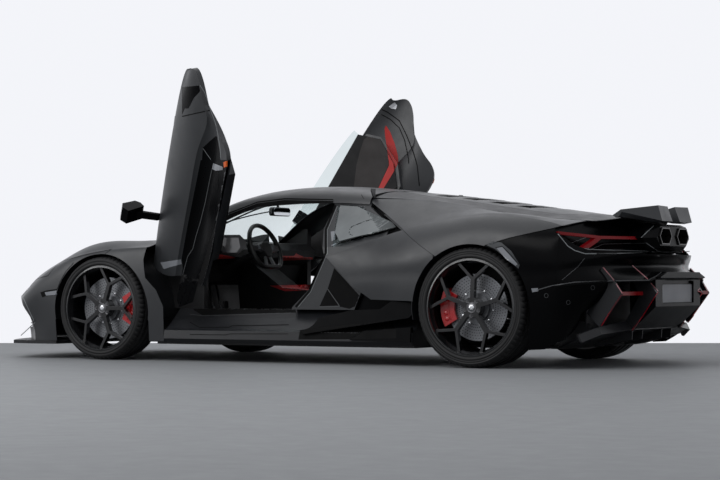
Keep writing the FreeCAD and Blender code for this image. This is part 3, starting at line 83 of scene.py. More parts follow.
# Materials
class Nodes:
    """A material with a Principled shader and short calls that add nodes to it."""

    def __init__(self, name):
        self.material = bpy.data.materials.new(name)
        self.material.use_nodes = True
        self.tree = self.material.node_tree
        self.tree.nodes.clear()
        self.shader = self.add("ShaderNodeBsdfPrincipled")
        output = self.add("ShaderNodeOutputMaterial")
        self.link(self.shader.outputs[0], output.inputs["Surface"])
        self.place = self.add("ShaderNodeTexCoord").outputs["Object"]

    def add(self, kind, **values):
        node = self.tree.nodes.new(kind)
        for key, value in values.items():
            setattr(node, key, value)
        return node

    def link(self, start, end):
        self.tree.links.new(start, end)

    def fill(self, sockets, values):
        for socket, value in zip(sockets, values):
            if isinstance(value, (int, float)):
                socket.default_value = value
            elif isinstance(value, (tuple, list)):
                socket.default_value = (*value[:3], 1.0)[:len(socket.default_value)]
            else:
                self.link(value, socket)

    def put(self, node, **values):
        """Sets inputs by name, with spaces written as underlines."""
        for key, value in values.items():
            self.fill([node.inputs[key.replace("_", " ")]], [value])
        return node

    def shade(self, **values):
        self.put(self.shader, **values)

    def colour_so_far(self):
        return self.shader.inputs["Base Color"].links[0].from_socket

    def noise(self, scale, detail=3.0, stretch=None):
        node = self.put(self.add("ShaderNodeTexNoise"), Scale=scale, Detail=detail, Roughness=0.55)
        self.link(self.stretched(stretch) if stretch else self.place, node.inputs["Vector"])
        return node.outputs["Fac"]

    def stretched(self, stretch, shift=(0, 0, 0)):
        node = self.put(self.add("ShaderNodeMapping"), Scale=stretch, Location=shift, Vector=self.place)
        return node.outputs["Vector"]

    def math(self, operation, first, second=0.0, third=0.0):
        node = self.add("ShaderNodeMath", operation=operation)
        self.fill(node.inputs, (first, second, third))
        return node.outputs[0]

    def spread(self, factor, low, high, start=0.3, end=0.7):
        node = self.add("ShaderNodeMapRange")
        self.put(node, From_Min=start, From_Max=end, To_Min=low, To_Max=high, Value=factor)
        return node.outputs["Result"]

    def mix(self, factor, first, second):
        node = self.add("ShaderNodeMix", data_type="RGBA")
        self.fill((node.inputs[0], node.inputs[6], node.inputs[7]), (factor, first, second))
        return node.outputs[2]

    def bump(self, height, strength, distance):
        node = self.put(self.add("ShaderNodeBump"), Strength=strength, Distance=distance, Height=height)
        if self.shader.inputs["Normal"].links:
            self.link(self.shader.inputs["Normal"].links[0].from_socket, node.inputs["Normal"])
        self.link(node.outputs["Normal"], self.shader.inputs["Normal"])

    def soft_edges(self, radius):
        node = self.put(self.add("ShaderNodeBevel", samples=4), Radius=radius)
        self.link(node.outputs[0], self.shader.inputs["Normal"])

    def cells(self, scale, **values):
        """Distance to the edge of irregular cells."""
        node = self.add("ShaderNodeTexVoronoi", feature="DISTANCE_TO_EDGE")
        return self.put(node, Scale=scale, Vector=self.place, **values).outputs["Distance"]


def shade(value, factor):
    return tuple(min(1.0, v * factor) for v in value)


def base_of(name, colour, rough, vary=0.12, metal=0.0, specular=0.5, coat=0.0, grain=900.0,
            grain_height=0.00002, rough_vary=0.05, edge=0.0):
    """The nodes of a surface with a cloudy colour, an uneven gloss and a fine grain."""
    n = Nodes(name)
    if edge:
        n.soft_edges(edge)
    cloud = n.spread(n.noise(3.0, 4.0), 0.0, 1.0)
    smear = n.spread(n.noise(11.0, 5.0), rough - rough_vary, rough + rough_vary)
    n.shade(Base_Color=n.mix(cloud, shade(colour, 1 - vary), shade(colour, 1 + vary)), Roughness=smear,
            Metallic=metal, Specular_IOR_Level=specular, Coat_Weight=coat, Coat_Roughness=0.05)
    n.bump(n.noise(grain, 2.0), 0.35, grain_height)
    return n


def surface(*values, **options):
    return base_of(*values, **options).material


def body_paint():
    n = base_of("satin_graphite_paint", (0.021, 0.0225, 0.025), 0.38, vary=0.08, specular=0.42,
                grain=1400.0, grain_height=0.00001, edge=0.0015)
    flake = n.spread(n.noise(2600.0, 1.0), 0.0, 0.5, 0.62, 0.75)
    n.shade(Base_Color=n.mix(flake, n.colour_so_far(), (0.05, 0.053, 0.058)))
    return n.material


def carbon(name="satin_black_composite"):
    """A dark weave that shows as a fine chequer."""
    colour = (0.009, 0.0095, 0.011)
    n = base_of(name, colour, 0.42, specular=0.3, edge=0.0015)
    chequer = n.put(n.add("ShaderNodeTexChecker"), Scale=260.0, Vector=n.place).outputs["Fac"]
    n.shade(Base_Color=n.mix(n.math("MULTIPLY", chequer, 0.4), n.colour_so_far(), shade(colour, 1.8)))
    n.bump(chequer, 0.25, 0.00008)
    return n.material


def glass(name, tint):
    n = Nodes(name)
    smear = n.noise(5.0, 4.0)
    n.shade(Base_Color=n.mix(n.spread(smear, 0.0, 1.0), shade(tint, 0.96), tint),
            Roughness=n.spread(smear, 0.0, 0.03), Transmission_Weight=1.0, IOR=1.12)
    return n.material


def drilled_disc(name, centre_x, centre_z):
    """A grey ceramic disc with rings of drilled holes about its own axle."""
    ring_step, holes_round, row_turn = 0.0165, 60.0, 0.37
    hole_radius, first_ring = 0.0034, 0.105
    n = base_of(name, (0.16, 0.165, 0.175), 0.38, metal=0.75, grain=500.0, grain_height=0.00004)
    split = n.put(n.add("ShaderNodeSeparateXYZ"), Vector=n.stretched((1, 1, 1), (-centre_x, 0, -centre_z)))
    x, z = split.outputs["X"], split.outputs["Z"]

    def length(a, b):
        return n.math("SQRT", n.math("ADD", n.math("MULTIPLY", a, a), n.math("MULTIPLY", b, b)))

    def from_middle(value):
        return n.math("SUBTRACT", n.math("FRACT", value), 0.5)

    radius = length(x, z)
    ring = n.math("DIVIDE", radius, ring_step)
    row = n.math("MULTIPLY", n.math("FLOOR", ring), row_turn)
    turn = n.math("DIVIDE", n.math("ARCTAN2", z, x), whole_turn)
    along = n.math("MULTIPLY_ADD", turn, holes_round, row)
    pitch = n.math("DIVIDE", n.math("MULTIPLY", radius, whole_turn), holes_round)
    distance = length(n.math("MULTIPLY", from_middle(ring), ring_step),
                      n.math("MULTIPLY", from_middle(along), pitch))
    hole = n.math("MULTIPLY", n.math("LESS_THAN", distance, hole_radius),
                  n.math("GREATER_THAN", radius, first_ring))
    n.shade(Base_Color=n.mix(hole, n.colour_so_far(), (0.004, 0.004, 0.004)))
    n.bump(n.math("SUBTRACT", 1.0, hole), 0.6, 0.0006)
    n.bump(n.math("SINE", n.math("MULTIPLY", radius, 5200.0)), 0.12, 0.00004)
    return n.material


def glowing(name, colour, strength, base):
    n = base_of(name, base, 0.3, specular=0.12)
    n.shade(Emission_Color=n.mix(n.spread(n.noise(60.0), 0.0, 1.0), shade(colour, 0.85), colour),
            Emission_Strength=strength)
    return n.material


def grille(name):
    """A fine black mesh: wires over dark holes, with its own relief."""
    n = base_of(name, (0.004, 0.004, 0.0045), 0.5, specular=0.12)
    wires = n.math("LESS_THAN", n.cells(1.0 / 0.018, Randomness=0.12), 0.16)
    n.shade(Base_Color=n.mix(wires, (0.0006, 0.0006, 0.0006), (0.0075, 0.0075, 0.0085)))
    n.bump(wires, 0.8, 0.002)
    return n.material


def leather(name, colour, rough=0.46):
    """Leather with a fine pebble grain and soft creases."""
    n = base_of(name, colour, rough, vary=0.15, specular=0.38, grain=900.0, grain_height=0.0002)
    n.bump(n.cells(620.0), 0.35, 0.0004)
    n.bump(n.noise(38.0, 4.0, stretch=(1.0, 1.0, 2.6)), 0.25, 0.0012)
    return n.material


def tyre_rubber():
    n = base_of("tyre_rubber", (0.0085, 0.0085, 0.009), 0.6, specular=0.28, grain=420.0,
                grain_height=0.00015)
    dust = n.spread(n.noise(24.0, 5.0), 0.0, 0.35, 0.5, 0.8)
    n.shade(Base_Color=n.mix(dust, n.colour_so_far(), (0.02, 0.0195, 0.019)))
    return n.material


satin_black = carbon()
satin_grey = surface("satin_blade_grey", (0.0095, 0.0102, 0.012), 0.36, specular=0.28, edge=0.0012)
gloss_black = surface("gloss_black_trim", (0.0018, 0.0019, 0.0023), 0.24, specular=0.05, rough_vary=0.03,
                      edge=0.0012)
caliper_red = surface("red_caliper_paint", (0.42, 0.008, 0.010), 0.25, coat=0.5, edge=0.002)
black_leather = leather("black_leather", (0.008, 0.0078, 0.008))
tyre_black = tyre_rubber()
materials = {
    "body_paint": body_paint(),
    "gloss_black": gloss_black,
    "satin_black": satin_black,
    "satin_grey": satin_grey,
    "red_lens": glowing("red_lamp_lens", (0.42, 0.008, 0.014), 0.08, (0.12, 0.002, 0.004)),
    "glass": glass("tinted_glass", (0.80, 0.86, 0.86)),
    "lamp": surface("lamp_lens", (0.006, 0.006, 0.007), 0.06, rough_vary=0.02),
    "structure": surface("coated_structure", (0.012, 0.012, 0.013), 0.5, specular=0.3, grain=300.0,
                         grain_height=0.0001),
    "tyre": tyre_black,
    "rim": surface("gloss_black_alloy", (0.006, 0.006, 0.0068), 0.2, specular=0.45, coat=0.3, edge=0.0025),
    "disc": drilled_disc("drilled_brake_disc_front", front_axle, 0.346),
    "caliper": caliper_red,
    "hub_metal": surface("cast_suspension_metal", (0.10, 0.10, 0.105), 0.5, metal=0.8, grain=250.0,
                         grain_height=0.0002),
    "exhaust": surface("dark_exhaust_metal", (0.06, 0.058, 0.058), 0.33, metal=0.9, edge=0.001),
    "engine": surface("dark_engine_casting", (0.03, 0.03, 0.032), 0.55, metal=0.5, grain=200.0,
                      grain_height=0.0003),
    "leather": black_leather,
    "interior": surface("soft_black_trim", (0.0055, 0.0055, 0.006), 0.62, specular=0.2, grain=900.0,
                        grain_height=0.0002, edge=0.002),
}
rear_disc = drilled_disc("drilled_brake_disc_rear", rear_axle, 0.368)
wing_grey = surface("wing_grey_paint", (0.026, 0.028, 0.031), 0.4, specular=0.4)
red_leather = leather("red_leather", (0.33, 0.012, 0.014))
bright_red = surface("bright_red_trim", (0.44, 0.020, 0.018), 0.45, specular=0.25)
red_line = surface("red_pinstripe", (0.55, 0.010, 0.030), 0.3)
# Pale red copy of the pinstripe: painted reflection on the upper runs of the red stripes
painted_reflection_stripe = surface("pale_red_pinstripe", (0.55, 0.22, 0.24), 0.3)
# Silver trim on the lower steering spokes; elsewhere thin silver ribbons that are painted highlights along
# edges
silver_trim_and_painted_highlight = surface("dull_silver_edge", (0.16, 0.17, 0.175), 0.35, metal=0.3)
# Darker painted highlights along edges, seams and sensor rings, and on each rim lip
painted_highlight_line = surface("dark_silver_edge", (0.060, 0.063, 0.066), 0.4, metal=0.2)
# Black for shut lines, seals and dark joints; also painted shade in the side intake mouth
black_gap_and_painted_shade = surface("black_shut_line", (0.0015, 0.0015, 0.0016), 0.7, specular=0.1)
mesh_grille = grille("black_mesh_grille")
plate_grey = surface("blank_plate_grey", (0.19, 0.195, 0.215), 0.42, specular=0.35)
bright_metal = surface("bright_metal", (0.62, 0.63, 0.65), 0.25, metal=0.9)
dark_metal = surface("dark_metal", (0.10, 0.10, 0.105), 0.35, metal=0.8)
lens_grey = surface("pale_marker_lens", (0.20, 0.21, 0.23), 0.2, coat=0.5)
# Pale sheet on the quarter pane: painted reflection and painted brightness seen through the glass
painted_pane_reflection = surface("quarter_pane_sheen", (0.17, 0.185, 0.19), 0.12, specular=0.4, vary=0.25)
amber = glowing("amber_marker", (0.75, 0.16, 0.02), 0.25, (0.4, 0.06, 0.01))
white_glow = glowing("pale_lamp_bar", (0.85, 0.9, 1.0), 0.7, (0.5, 0.52, 0.55))
screen_face = surface("grey_screen", (0.10, 0.095, 0.10), 0.2, coat=0.5)
mirror_face = surface("mirror_glass", (0.55, 0.57, 0.6), 0.03, metal=1.0, rough_vary=0.01)
panel_brown = leather("brown_black_panel", (0.012, 0.0092, 0.0086), 0.65)
# Light grey on the panel by the rear arch lamp: a painted highlight on the paint
lamp_panel_painted_highlight = surface("soft_grey_trim", (0.030, 0.034, 0.038), 0.5, specular=0.35, grain=700.0,
                    grain_height=0.0003)
slot_of = {part["node"]: part["material_slot"] for part in record["subparts"]}


def wear(name, material):
    nodes[name].data.materials.clear()
    nodes[name].data.materials.append(material)


for name in nodes:
    wear(name, materials[slot_of[name]])
wear("brake_disc_rear_left", rear_disc)
wear("brake_disc_rear_right", rear_disc)
wear("rear_wing", wing_grey)
wear("sills", satin_grey)


# Ways of making pieces: a group is a list of points with a list of faces
def ray(px, py):
    across = (px - image_width / 2) / focal_pixels
    rise = (image_height / 2 - py) / focal_pixels
    return (forward + rightward * across + upward * rise).normalized()


def carrier(names):
    """The named nodes as one tree that rays can meet."""
    points, faces = join(*[([nodes[name].matrix_world @ vertex.co for vertex in nodes[name].data.vertices],
                            [polygon.vertices for polygon in nodes[name].data.polygons]) for name in names])
    return BVHTree.FromPolygons(points, faces)


def join(*groups):
    points, faces = [], []
    for group_points, group_faces in groups:
        start = len(points)
        points += [Vector(p) for p in group_points]
        faces += [[start + i for i in face] for face in group_faces]
    return points, faces


def moved(group, shift):
    return [Vector(p) + Vector(shift) for p in group[0]], group[1]


def flipped(group):
    return [Vector((p[0], -p[1], p[2])) for p in group[0]], [list(face)[::-1] for face in group[1]]


def add_piece(name, group, material, slot_name, body="chassis", smooth=False, soft=0.0, node=None):
    """A piece on a body, with its edges rounded where soft says, in place of a node where one is named."""
    mesh = bpy.data.meshes.new(name)
    mesh.from_pydata([tuple(p) for p in group[0]], [], group[1])
    mesh.update()
    tidy = bmesh.new()
    tidy.from_mesh(mesh)
    bmesh.ops.remove_doubles(tidy, verts=tidy.verts, dist=1e-6)
    bmesh.ops.recalc_face_normals(tidy, faces=tidy.faces)
    tidy.to_mesh(mesh)
    tidy.free()
    if smooth:
        mesh.polygons.foreach_set("use_smooth", [True] * len(mesh.polygons))
    piece = bpy.data.objects.new(name, mesh)
    scene.collection.objects.link(piece)
    mesh.materials.append(material)
    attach(piece, body)
    if soft:
        bevel = piece.modifiers.new("bevel", "BEVEL")
        bevel.width = soft
        bevel.segments = 2
        bevel.limit_method = "ANGLE"
        bevel.angle_limit = math.radians(35)
    if node:
        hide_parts(node)
    return piece


def on_plane(px, py, point, normal):
    return camera_place + ray(px, py) * ((point - camera_place).dot(normal) / ray(px, py).dot(normal))


def place_on(tree, spots, lift):
    """Each pixel's point on the carrier, lifted off it; a pixel that misses takes its neighbour's depth."""
    hits = []
    for px, py in spots:
        place, normal, _, _ = tree.ray_cast(camera_place, ray(px, py))
        if place is not None and normal.dot(ray(px, py)) > 0:
            normal = -normal
        hits.append((place, normal))
    good = [i for i, (place, _) in enumerate(hits) if place is not None]
    points = []
    for (px, py), (place, normal) in zip(spots, hits):
        if place is None:
            near = min(good, key=lambda k: (spots[k][0] - px) ** 2 + (spots[k][1] - py) ** 2)
            anchor, normal = hits[near]
            reach = (anchor - camera_place).dot(forward) / ray(px, py).dot(forward)
            place = camera_place + ray(px, py) * reach
        points.append(place + normal * lift)
    return points


def thick(points, faces, depth):
    """A sheet of faces given thickness away from the camera."""
    count = len(points)
    back = [p + (p - camera_place).normalized() * depth for p in points]
    edges = dict.fromkeys((a, b) for face in faces for a, b in zip(face, face[1:] + face[:1]))
    rim = [[a, b, b + count, a + count] for a, b in edges if (b, a) not in edges]
    return points + back, faces + [[i + count for i in face[::-1]] for face in faces] + rim


def decal(name, names, outline, material, step=2.0, **options):
    """A thin patch with this pixel outline that lies on the named nodes."""
    sheet = bmesh.new()
    sheet.faces.new([sheet.verts.new((x, y, 0)) for x, y in outline])
    bmesh.ops.triangulate(sheet, faces=sheet.faces[:])
    for _ in range(7):
        long_edges = [edge for edge in sheet.edges if edge.calc_length() > step]
        if not long_edges:
            break
        bmesh.ops.subdivide_edges(sheet, edges=long_edges, cuts=1)
        bmesh.ops.triangulate(sheet, faces=sheet.faces[:])
    sheet.verts.ensure_lookup_table()
    spots = [(vertex.co.x, vertex.co.y) for vertex in sheet.verts]
    faces = [[vertex.index for vertex in face.verts] for face in sheet.faces]
    sheet.free()
    lay(name, names, spots, faces, material, **options)


def lay(name, names, spots, faces, material, slot_name, body="chassis", lift=0.001, depth=0.003,
        mirrored=True, only=False):
    """Sets a sheet of pixels on the named nodes. With only, faces that miss the nodes are left out."""
    tree = carrier(names)
    if only:
        met = [tree.ray_cast(camera_place, ray(px, py))[0] is not None for px, py in spots]
        faces = [face for face in faces if all(met[i] for i in face)]
        used = sorted({i for face in faces for i in face})
        place_of = {old: new for new, old in enumerate(used)}
        spots = [spots[i] for i in used]
        faces = [[place_of[i] for i in face] for face in faces]
    group = thick(place_on(tree, spots, lift), faces, depth)
    if mirrored and body == "chassis":
        group = join(group, flipped(group))
    add_piece(name, group, material, slot_name, body)
    if mirrored and body != "chassis":
        stem, side = body.rsplit("_", 1)
        other = "right" if side == "left" else "left"
        add_piece(name + "_" + other, flipped(group), material, slot_name, stem + "_" + other)


def edges_of(line, width, step, closed):
    """Pairs of spots on both sides of a line."""
    line = [Vector(p) for p in line]
    if closed:
        line.append(line[0].copy())
    path = [line[0]]
    for start, end in zip(line, line[1:]):
        count = max(1, int((end - start).length / step))
        path += [start.lerp(end, (i + 1) / count) for i in range(count)]
    pairs = []
    for i, spot in enumerate(path):
        along = (path[min(i + 1, len(path) - 1)] - path[max(i - 1, 0)]).normalized()
        side = Vector((-along.y, along.x)) * width / 2
        pairs.append((tuple(spot - side), tuple(spot + side)))
    return pairs


def stripe(name, names, line, width, material, step=1.5, closed=False, **options):
    """A thin ribbon along a line of pixels that lies on the named nodes."""
    spots = [spot for pair in edges_of(line, width, step, closed) for spot in pair]
    faces = [[i, i + 1, i + 3, i + 2] for i in range(0, len(spots) - 2, 2)]
    lay(name, names, spots, faces, material, **options)


def zoomed(crop, places):
    """Pixels of the photograph from places in an enlarged crop of it: left, top and scale."""
    left, top, scale = crop
    return [(left + x / scale, top + y / scale) for x, y in places]


def ellipse(x, y, wide, tall, count):
    return [(x + wide * math.cos(whole_turn * k / count), y + tall * math.sin(whole_turn * k / count))
            for k in range(count)]


def turned(profile, count):
    """A (radius, y) profile turned about the Y axis."""
    points, faces = [], []
    size = len(profile)
    for k in range(count):
        angle = whole_turn * k / count
        points += [Vector((r * math.cos(angle), y, r * math.sin(angle))) for r, y in profile]
        first, second = k * size, (k + 1) % count * size
        faces += [[first + i, first + i + 1, second + i + 1, second + i] for i in range(size - 1)]
    return points, faces


def prism(outline, low, high, axis="y", inset=0.0):
    """A closed plate with a bevelled near face: outline in the other two axes, between low and high."""
    count = len(outline)
    middle = Vector((sum(p[0] for p in outline) / count, sum(p[1] for p in outline) / count))
    rings = [(outline, low), (outline, high - inset if high > low else high + inset)]
    if inset:
        smaller = []
        for p in outline:
            toward = middle - Vector(p)
            smaller.append(tuple(Vector(p) + toward.normalized() * min(inset, toward.length / 2)))
        rings.append((smaller, high))
    points = []
    for ring, level in rings:
        for a, b in ring:
            points.append(Vector({"y": (a, level, b), "x": (level, a, b), "z": (a, b, level)}[axis]))
    return points, tube_faces(len(rings), count)


def tube_faces(rows, count):
    """Faces between rows of points round a closed tube, with both ends capped."""
    last = (rows - 1) * count
    faces = [list(range(count))[::-1], [last + i for i in range(count)]]
    for start in range(0, last, count):
        for i in range(count):
            j = (i + 1) % count
            faces.append([start + i, start + j, start + count + j, start + count + i])
    return faces


def rod(line, radius, count=10):
    """A round bar along a line of points."""
    points = []
    for i, p in enumerate(line):
        ahead = (Vector(line[min(i + 1, len(line) - 1)]) - Vector(line[max(i - 1, 0)])).normalized()
        side = ahead.cross(Vector((0.31, 0.17, 0.93))).normalized()
        over = ahead.cross(side)
        points += [Vector(p) + (side * a + over * b) * radius for a, b in ellipse(0, 0, 1, 1, count)]
    return points, tube_faces(len(line), count)


def block(along, up, across, sign=1):
    """A box on one side of the car, between two values of each axis."""
    outline = [(along[0], up[0]), (along[1], up[0]), (along[1], up[1]), (along[0], up[1])]
    return prism(outline, *sorted((sign * across[0], sign * across[1])))


# Wheels
blocks_round = 66
groove_half = 0.0042
groove_depth = 0.0065
sipe_depth = 0.0045
sipe_start = 0.84
shoulder_depth = 0.013
bolts_round, bolt_ring = 5, 0.048
studs_round, stud_ring = 10, 0.108


def tyre_group(radius, width, rim_radius):
    """A tyre about the origin, outside towards +Y, with grooves, shoulder blocks and sidewall rings."""
    half = width / 2
    bead = rim_radius + 0.002
    wall = [(bead + rise, half - drop) for rise, drop in (
        (0, 0.008), (0.006, 0.002), (0.012, 0.0004), (0.018, 0), (0.0195, 0.003), (0.027, 0.0034),
        (0.0275, 0.0022), (0.0295, 0.0022), (0.030, 0.0034))]
    wall += [(radius - sink, half - drop) for sink, drop in (
        (0.029, 0.0036), (0.0285, 0.0022), (0.0265, 0.003), (0.018, 0.0095), (0.0115, 0.0155),
        (0.0065, 0.0245), (0.0045, 0.031))]
    grooves = [half * 0.62, half * 0.22]
    edge = groove_half + 0.0015
    crown = [(radius - sink, centre + y) for centre in grooves for sink, y in (
        (0.0022, edge), (groove_depth, groove_half), (groove_depth, -groove_half), (0.0012, -edge))]
    upper = wall + crown
    profile = upper + [(radius, 0.0)] + [(r, -y) for r, y in reversed(upper)]
    shoulder = grooves[0] + groove_half + 0.001
    points, faces = [], []
    pitch = whole_turn / blocks_round
    shares = (0.0, 0.80, sipe_start, 0.96)
    for k in range(blocks_round):
        for share in shares:
            for r, y in profile:
                sunk = share >= sipe_start and abs(y) > shoulder and r > radius - shoulder_depth
                reach = r - sipe_depth if sunk else r
                angle = pitch * (k + share + 0.10 * abs(y) / half)
                points.append(Vector((reach * math.cos(angle), y, reach * math.sin(angle))))
    size, stations = len(profile), blocks_round * len(shares)
    for k in range(stations):
        first, second = k * size, (k + 1) % stations * size
        faces += [[first + i, first + i + 1, second + i + 1, second + i] for i in range(size - 1)]
        faces.append([first + size - 1, first, second, second + size - 1])
    return points, faces


def ring_of(group, count, radius, start):
    """Copies of a group set round the Y axis."""
    angles = [math.radians(start + 360.0 * k / count) for k in range(count)]
    return join(*[moved(group, (radius * math.cos(angle), 0, radius * math.sin(angle))) for angle in angles])


def add_wheel(end, side, axle, half_track, radius, width, rim_radius, spoke_turn):
    sign = 1 if side == "left" else -1
    wheel = "wheel_%s_%s" % (end, side)
    face_y = width / 2 - 0.032
    disc_y = width / 2 - 0.130
    hat_y = disc_y + 0.018
    lip_y = width / 2 - 0.0085

    def put(name, group, material, slot_name, smooth=True, body=wheel, node=None):
        points = [(axle + p[0], sign * (half_track + p[1]), radius + p[2]) for p in group[0]]
        add_piece("%s_%s_%s" % (name, end, side), (points, group[1]), material, slot_name, body, smooth,
                  node=node)

    def lathe(level, profile, count):
        return turned([(r, level + y) for r, y in profile], count)

    put("road_tyre", tyre_group(radius, width, rim_radius), tyre_black, "tyre",
        node="tyre_%s_%s" % (end, side))
    cap = lathe(face_y, [(0.0, 0.001), (0.024, 0.001), (0.027, -0.002), (0.029, 0.002), (0.033, 0.002),
                         (0.0336, -0.004), (0.0336, -0.02)], 40)
    put("hub_cap", cap, dark_metal, "hub_metal")
    centre = lathe(face_y, [(0.0, 0.0035), (0.010, 0.0035), (0.018, 0.0015), (0.018, 0.0005)], 6)
    put("hub_cap_centre", centre, bright_metal, "hub_metal", False)
    nut = lathe(face_y, [(0.0, 0.006), (0.0055, 0.006), (0.0075, 0.004), (0.0085, -0.003)], 6)
    socket = lathe(face_y, [(0.0085, 0.0005), (0.0125, 0.0012), (0.0135, -0.001)], 16)
    bolts = [ring_of(group, bolts_round, bolt_ring, spoke_turn + 36) for group in (nut, socket)]
    put("wheel_bolts", join(*bolts), dark_metal, "hub_metal", False)
    stud = lathe(hat_y, [(0.0, 0.007), (0.006, 0.007), (0.0085, 0.005), (0.009, -0.001)], 12)
    put("disc_studs", ring_of(stud, studs_round, stud_ring, 9), bright_metal, "hub_metal")
    # The rim lip ring in the darker edge grey is a painted highlight on the rim's outer edge
    put("rim_lip", lathe(lip_y, [(rim_radius - 0.010, -0.004), (rim_radius - 0.008, 0),
                                 (rim_radius - 0.003, 0.0008), (rim_radius - 0.0005, -0.002)], 120),
        painted_highlight_line, "rim")
    angle = math.radians(spoke_turn + 31)
    stem = [(reach * math.cos(angle), width / 2 - inward, reach * math.sin(angle))
            for reach, inward in ((rim_radius - 0.031, 0.052), (rim_radius - 0.055, 0.038))]
    put("tyre_valve", rod(stem, 0.0035), dark_metal, "hub_metal")

    # Relief on the outer face of the caliper: four piston caps and a rib
    facing = -1 if end == "front" else 1
    relief_y = disc_y + 0.044
    piston = turned([(0.0, 0.005), (0.011, 0.005), (0.014, 0.003), (0.0155, -0.001)], 20)

    def on_arc(degrees, reach, level):
        turn = math.radians(degrees)
        return Vector((facing * reach * math.cos(turn), level, reach * math.sin(turn)))

    relief = [moved(piston, on_arc(degrees, 0.205, relief_y)) for degrees in (-20, -10, 10, 20)]
    relief.append(rod([on_arc(-25 + 50 * k / 12, 0.184, relief_y + 0.0005) for k in range(13)], 0.0035))
    put("caliper_relief", join(*relief), caliper_red, "caliper",
        body="hub_front_" + side if end == "front" else "chassis")


for side, _ in sides:
    add_wheel("front", side, front_axle, 0.860, 0.346, 0.265, 0.284, 180.0)
    add_wheel("rear", side, rear_axle, 0.845, 0.368, 0.335, 0.297, 164.5)


# Seats, steering wheel, instruments and mirror inside the cabin
def cabin(along, across, height):
    """A place in the cabin: millimetres back from the front axle, left of the middle and above the floor."""
    return Vector((front_axle - along / 1000, across / 1000, height / 1000))


def pad(name, corners, facing, crown, dips=(), fill=0.75, material=black_leather, roundness=0.4):
    """A closed crowned cushion between four corners, with channels across it where dips says."""
    rows, power = 22, 5
    channel_depth, channel_width, back_share = 0.32, 0.028, 0.35
    first, second, third, fourth = corners
    normal = (third - first).cross(fourth - second).normalized()
    if normal.dot(facing) < 0:
        normal = -normal
    front, back = [], []
    for i in range(rows + 1):
        for j in range(rows + 1):
            a, b = -math.cos(math.pi * i / rows), -math.cos(math.pi * j / rows)
            height = max(0.0, (1 - abs(a) ** power) * (1 - abs(b) ** power)) ** 0.5
            u = 0.5 + 0.5 * a * math.sqrt(1 - roundness * b * b / 2)
            v = 0.5 + 0.5 * b * math.sqrt(1 - roundness * a * a / 2)
            place = first.lerp(second, v).lerp(fourth.lerp(third, v), u)
            dent = sum(channel_depth * math.exp(-((0.5 + 0.5 * a - at) / channel_width) ** 2) for at in dips)
            front.append(place + normal * crown * height * (1 - dent))
            back.append(place - normal * crown * back_share * height)
    size = rows + 1
    faces = [[k, k + 1, k + size + 1, k + size] for k in range(size * rows) if (k + 1) % size]
    cushion = join((front, faces), (back, [face[::-1] for face in faces]))
    piece = add_piece(name, cushion, material, "leather", smooth=True)
    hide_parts("seats")


def add_seat(side, sign):
    up = Vector((0, 0, 1))
    ahead = Vector((1, 0, 0.3))
    channels = (0.2, 0.4, 0.6, 0.8)

    def cushion(label, front_low, rear_high, inner, outer, facing, crown, *values, lift=0.0, **options):
        (ax, az), (bx, bz) = front_low, rear_high
        corners = [cabin(ax, sign * inner, az), cabin(ax, sign * outer, az + lift),
                   cabin(bx, sign * outer, bz + lift), cabin(bx, sign * inner, bz)]
        pad("seat_%s_%s" % (label, side), corners, facing, crown, *values, **options)

    cushion("cushion", (918, 262), (1390, 232), 224, 531, up, 0.052, channels)
    cushion("thigh_roll", (898, 236), (960, 268), 232, 523, up, 0.036, (), 0.8)
    cushion("back", (1402, 250), (1594, 655), 222, 533, ahead, 0.055, channels)
    cushion("shoulder", (1588, 650), (1632, 770), 196, 559, ahead, 0.046, (0.5,), 0.7)
    cushion("head", (1634, 778), (1660, 888), 262, 493, ahead, 0.042, (), 0.7)
    for label, inner, outer in (("inner", 226, 146), ("outer", 529, 609)):
        def at(along, share, height):
            return cabin(along, sign * (inner * (1 - share) + outer * share), height)

        cushion(label + "_bolster", (930, 262), (1400, 250), inner, outer, up, 0.045, (), 0.85, lift=34,
                roundness=0.7)
        pad("seat_%s_wing_%s" % (label, side), [at(1400, 0, 262), at(1352, 1, 290), at(1540, 1, 640),
                                                at(1588, 0, 640)], ahead, 0.045, (), 0.85, roundness=0.7)
        pad("seat_%s_accent_%s" % (label, side), [at(1560, 0.2, 640), at(1548, 1, 640), at(1600, 0.5, 760),
                                                  at(1610, 0.1, 760)], ahead, 0.035, (), 0.8, red_leather)
        seam = [at(along, 0, height) for along, height in ((920, 292), (1160, 290), (1385, 276), (1400, 300),
                                                           (1490, 480), (1576, 652))]
        add_piece("seat_%s_piping_%s" % (label, side), rod(seam, 0.0035, 8), bright_red, "leather",
                  smooth=True, node="seats")
    profile = [(1385, 188), (1440, 196), (1560, 330), (1705, 740), (1690, 896), (1664, 896), (1678, 745),
               (1530, 345), (1415, 236), (905, 240), (902, 205), (960, 188)]
    outline = [(front_axle - along / 1000, height / 1000) for along, height in profile]
    add_piece("seat_shell_" + side, prism(outline, *sorted((sign * 0.150, sign * 0.605))),
              carbon("seat_shell_weave_" + side), "leather", soft=0.006, node="seats")
    for label, across in (("1", 0.205), ("2", 0.550)):
        rail = block((front_axle - 0.94, front_axle - 1.52), (0.172, 0.192), (across, across + 0.026), sign)
        add_piece("seat_rail_%s_%s" % (label, side), rail, dark_metal, "leather", soft=0.002, node="seats")


for side, sign in sides:
    add_seat(side, sign)


# Steering wheel with a flat lower edge, in its own plane
wheel_centre = cabin(918, 370, 743)
wheel_tilt = math.radians(68)
wheel_axis = Vector((-math.sin(wheel_tilt), 0, math.cos(wheel_tilt)))
wheel_up = Vector((math.cos(wheel_tilt), 0, math.sin(wheel_tilt)))


def on_wheel(a, b, out=0.0):
    return wheel_centre + Vector((0, a, 0)) + wheel_up * b + wheel_axis * out


def add_wheel_piece(label, group, material, smooth=False, soft=0.0):
    group = [on_wheel(*p) for p in group[0]], group[1]
    add_piece("steering_" + label, group, material, "leather", "steering_wheel", smooth, soft,
              "steering_wheel")


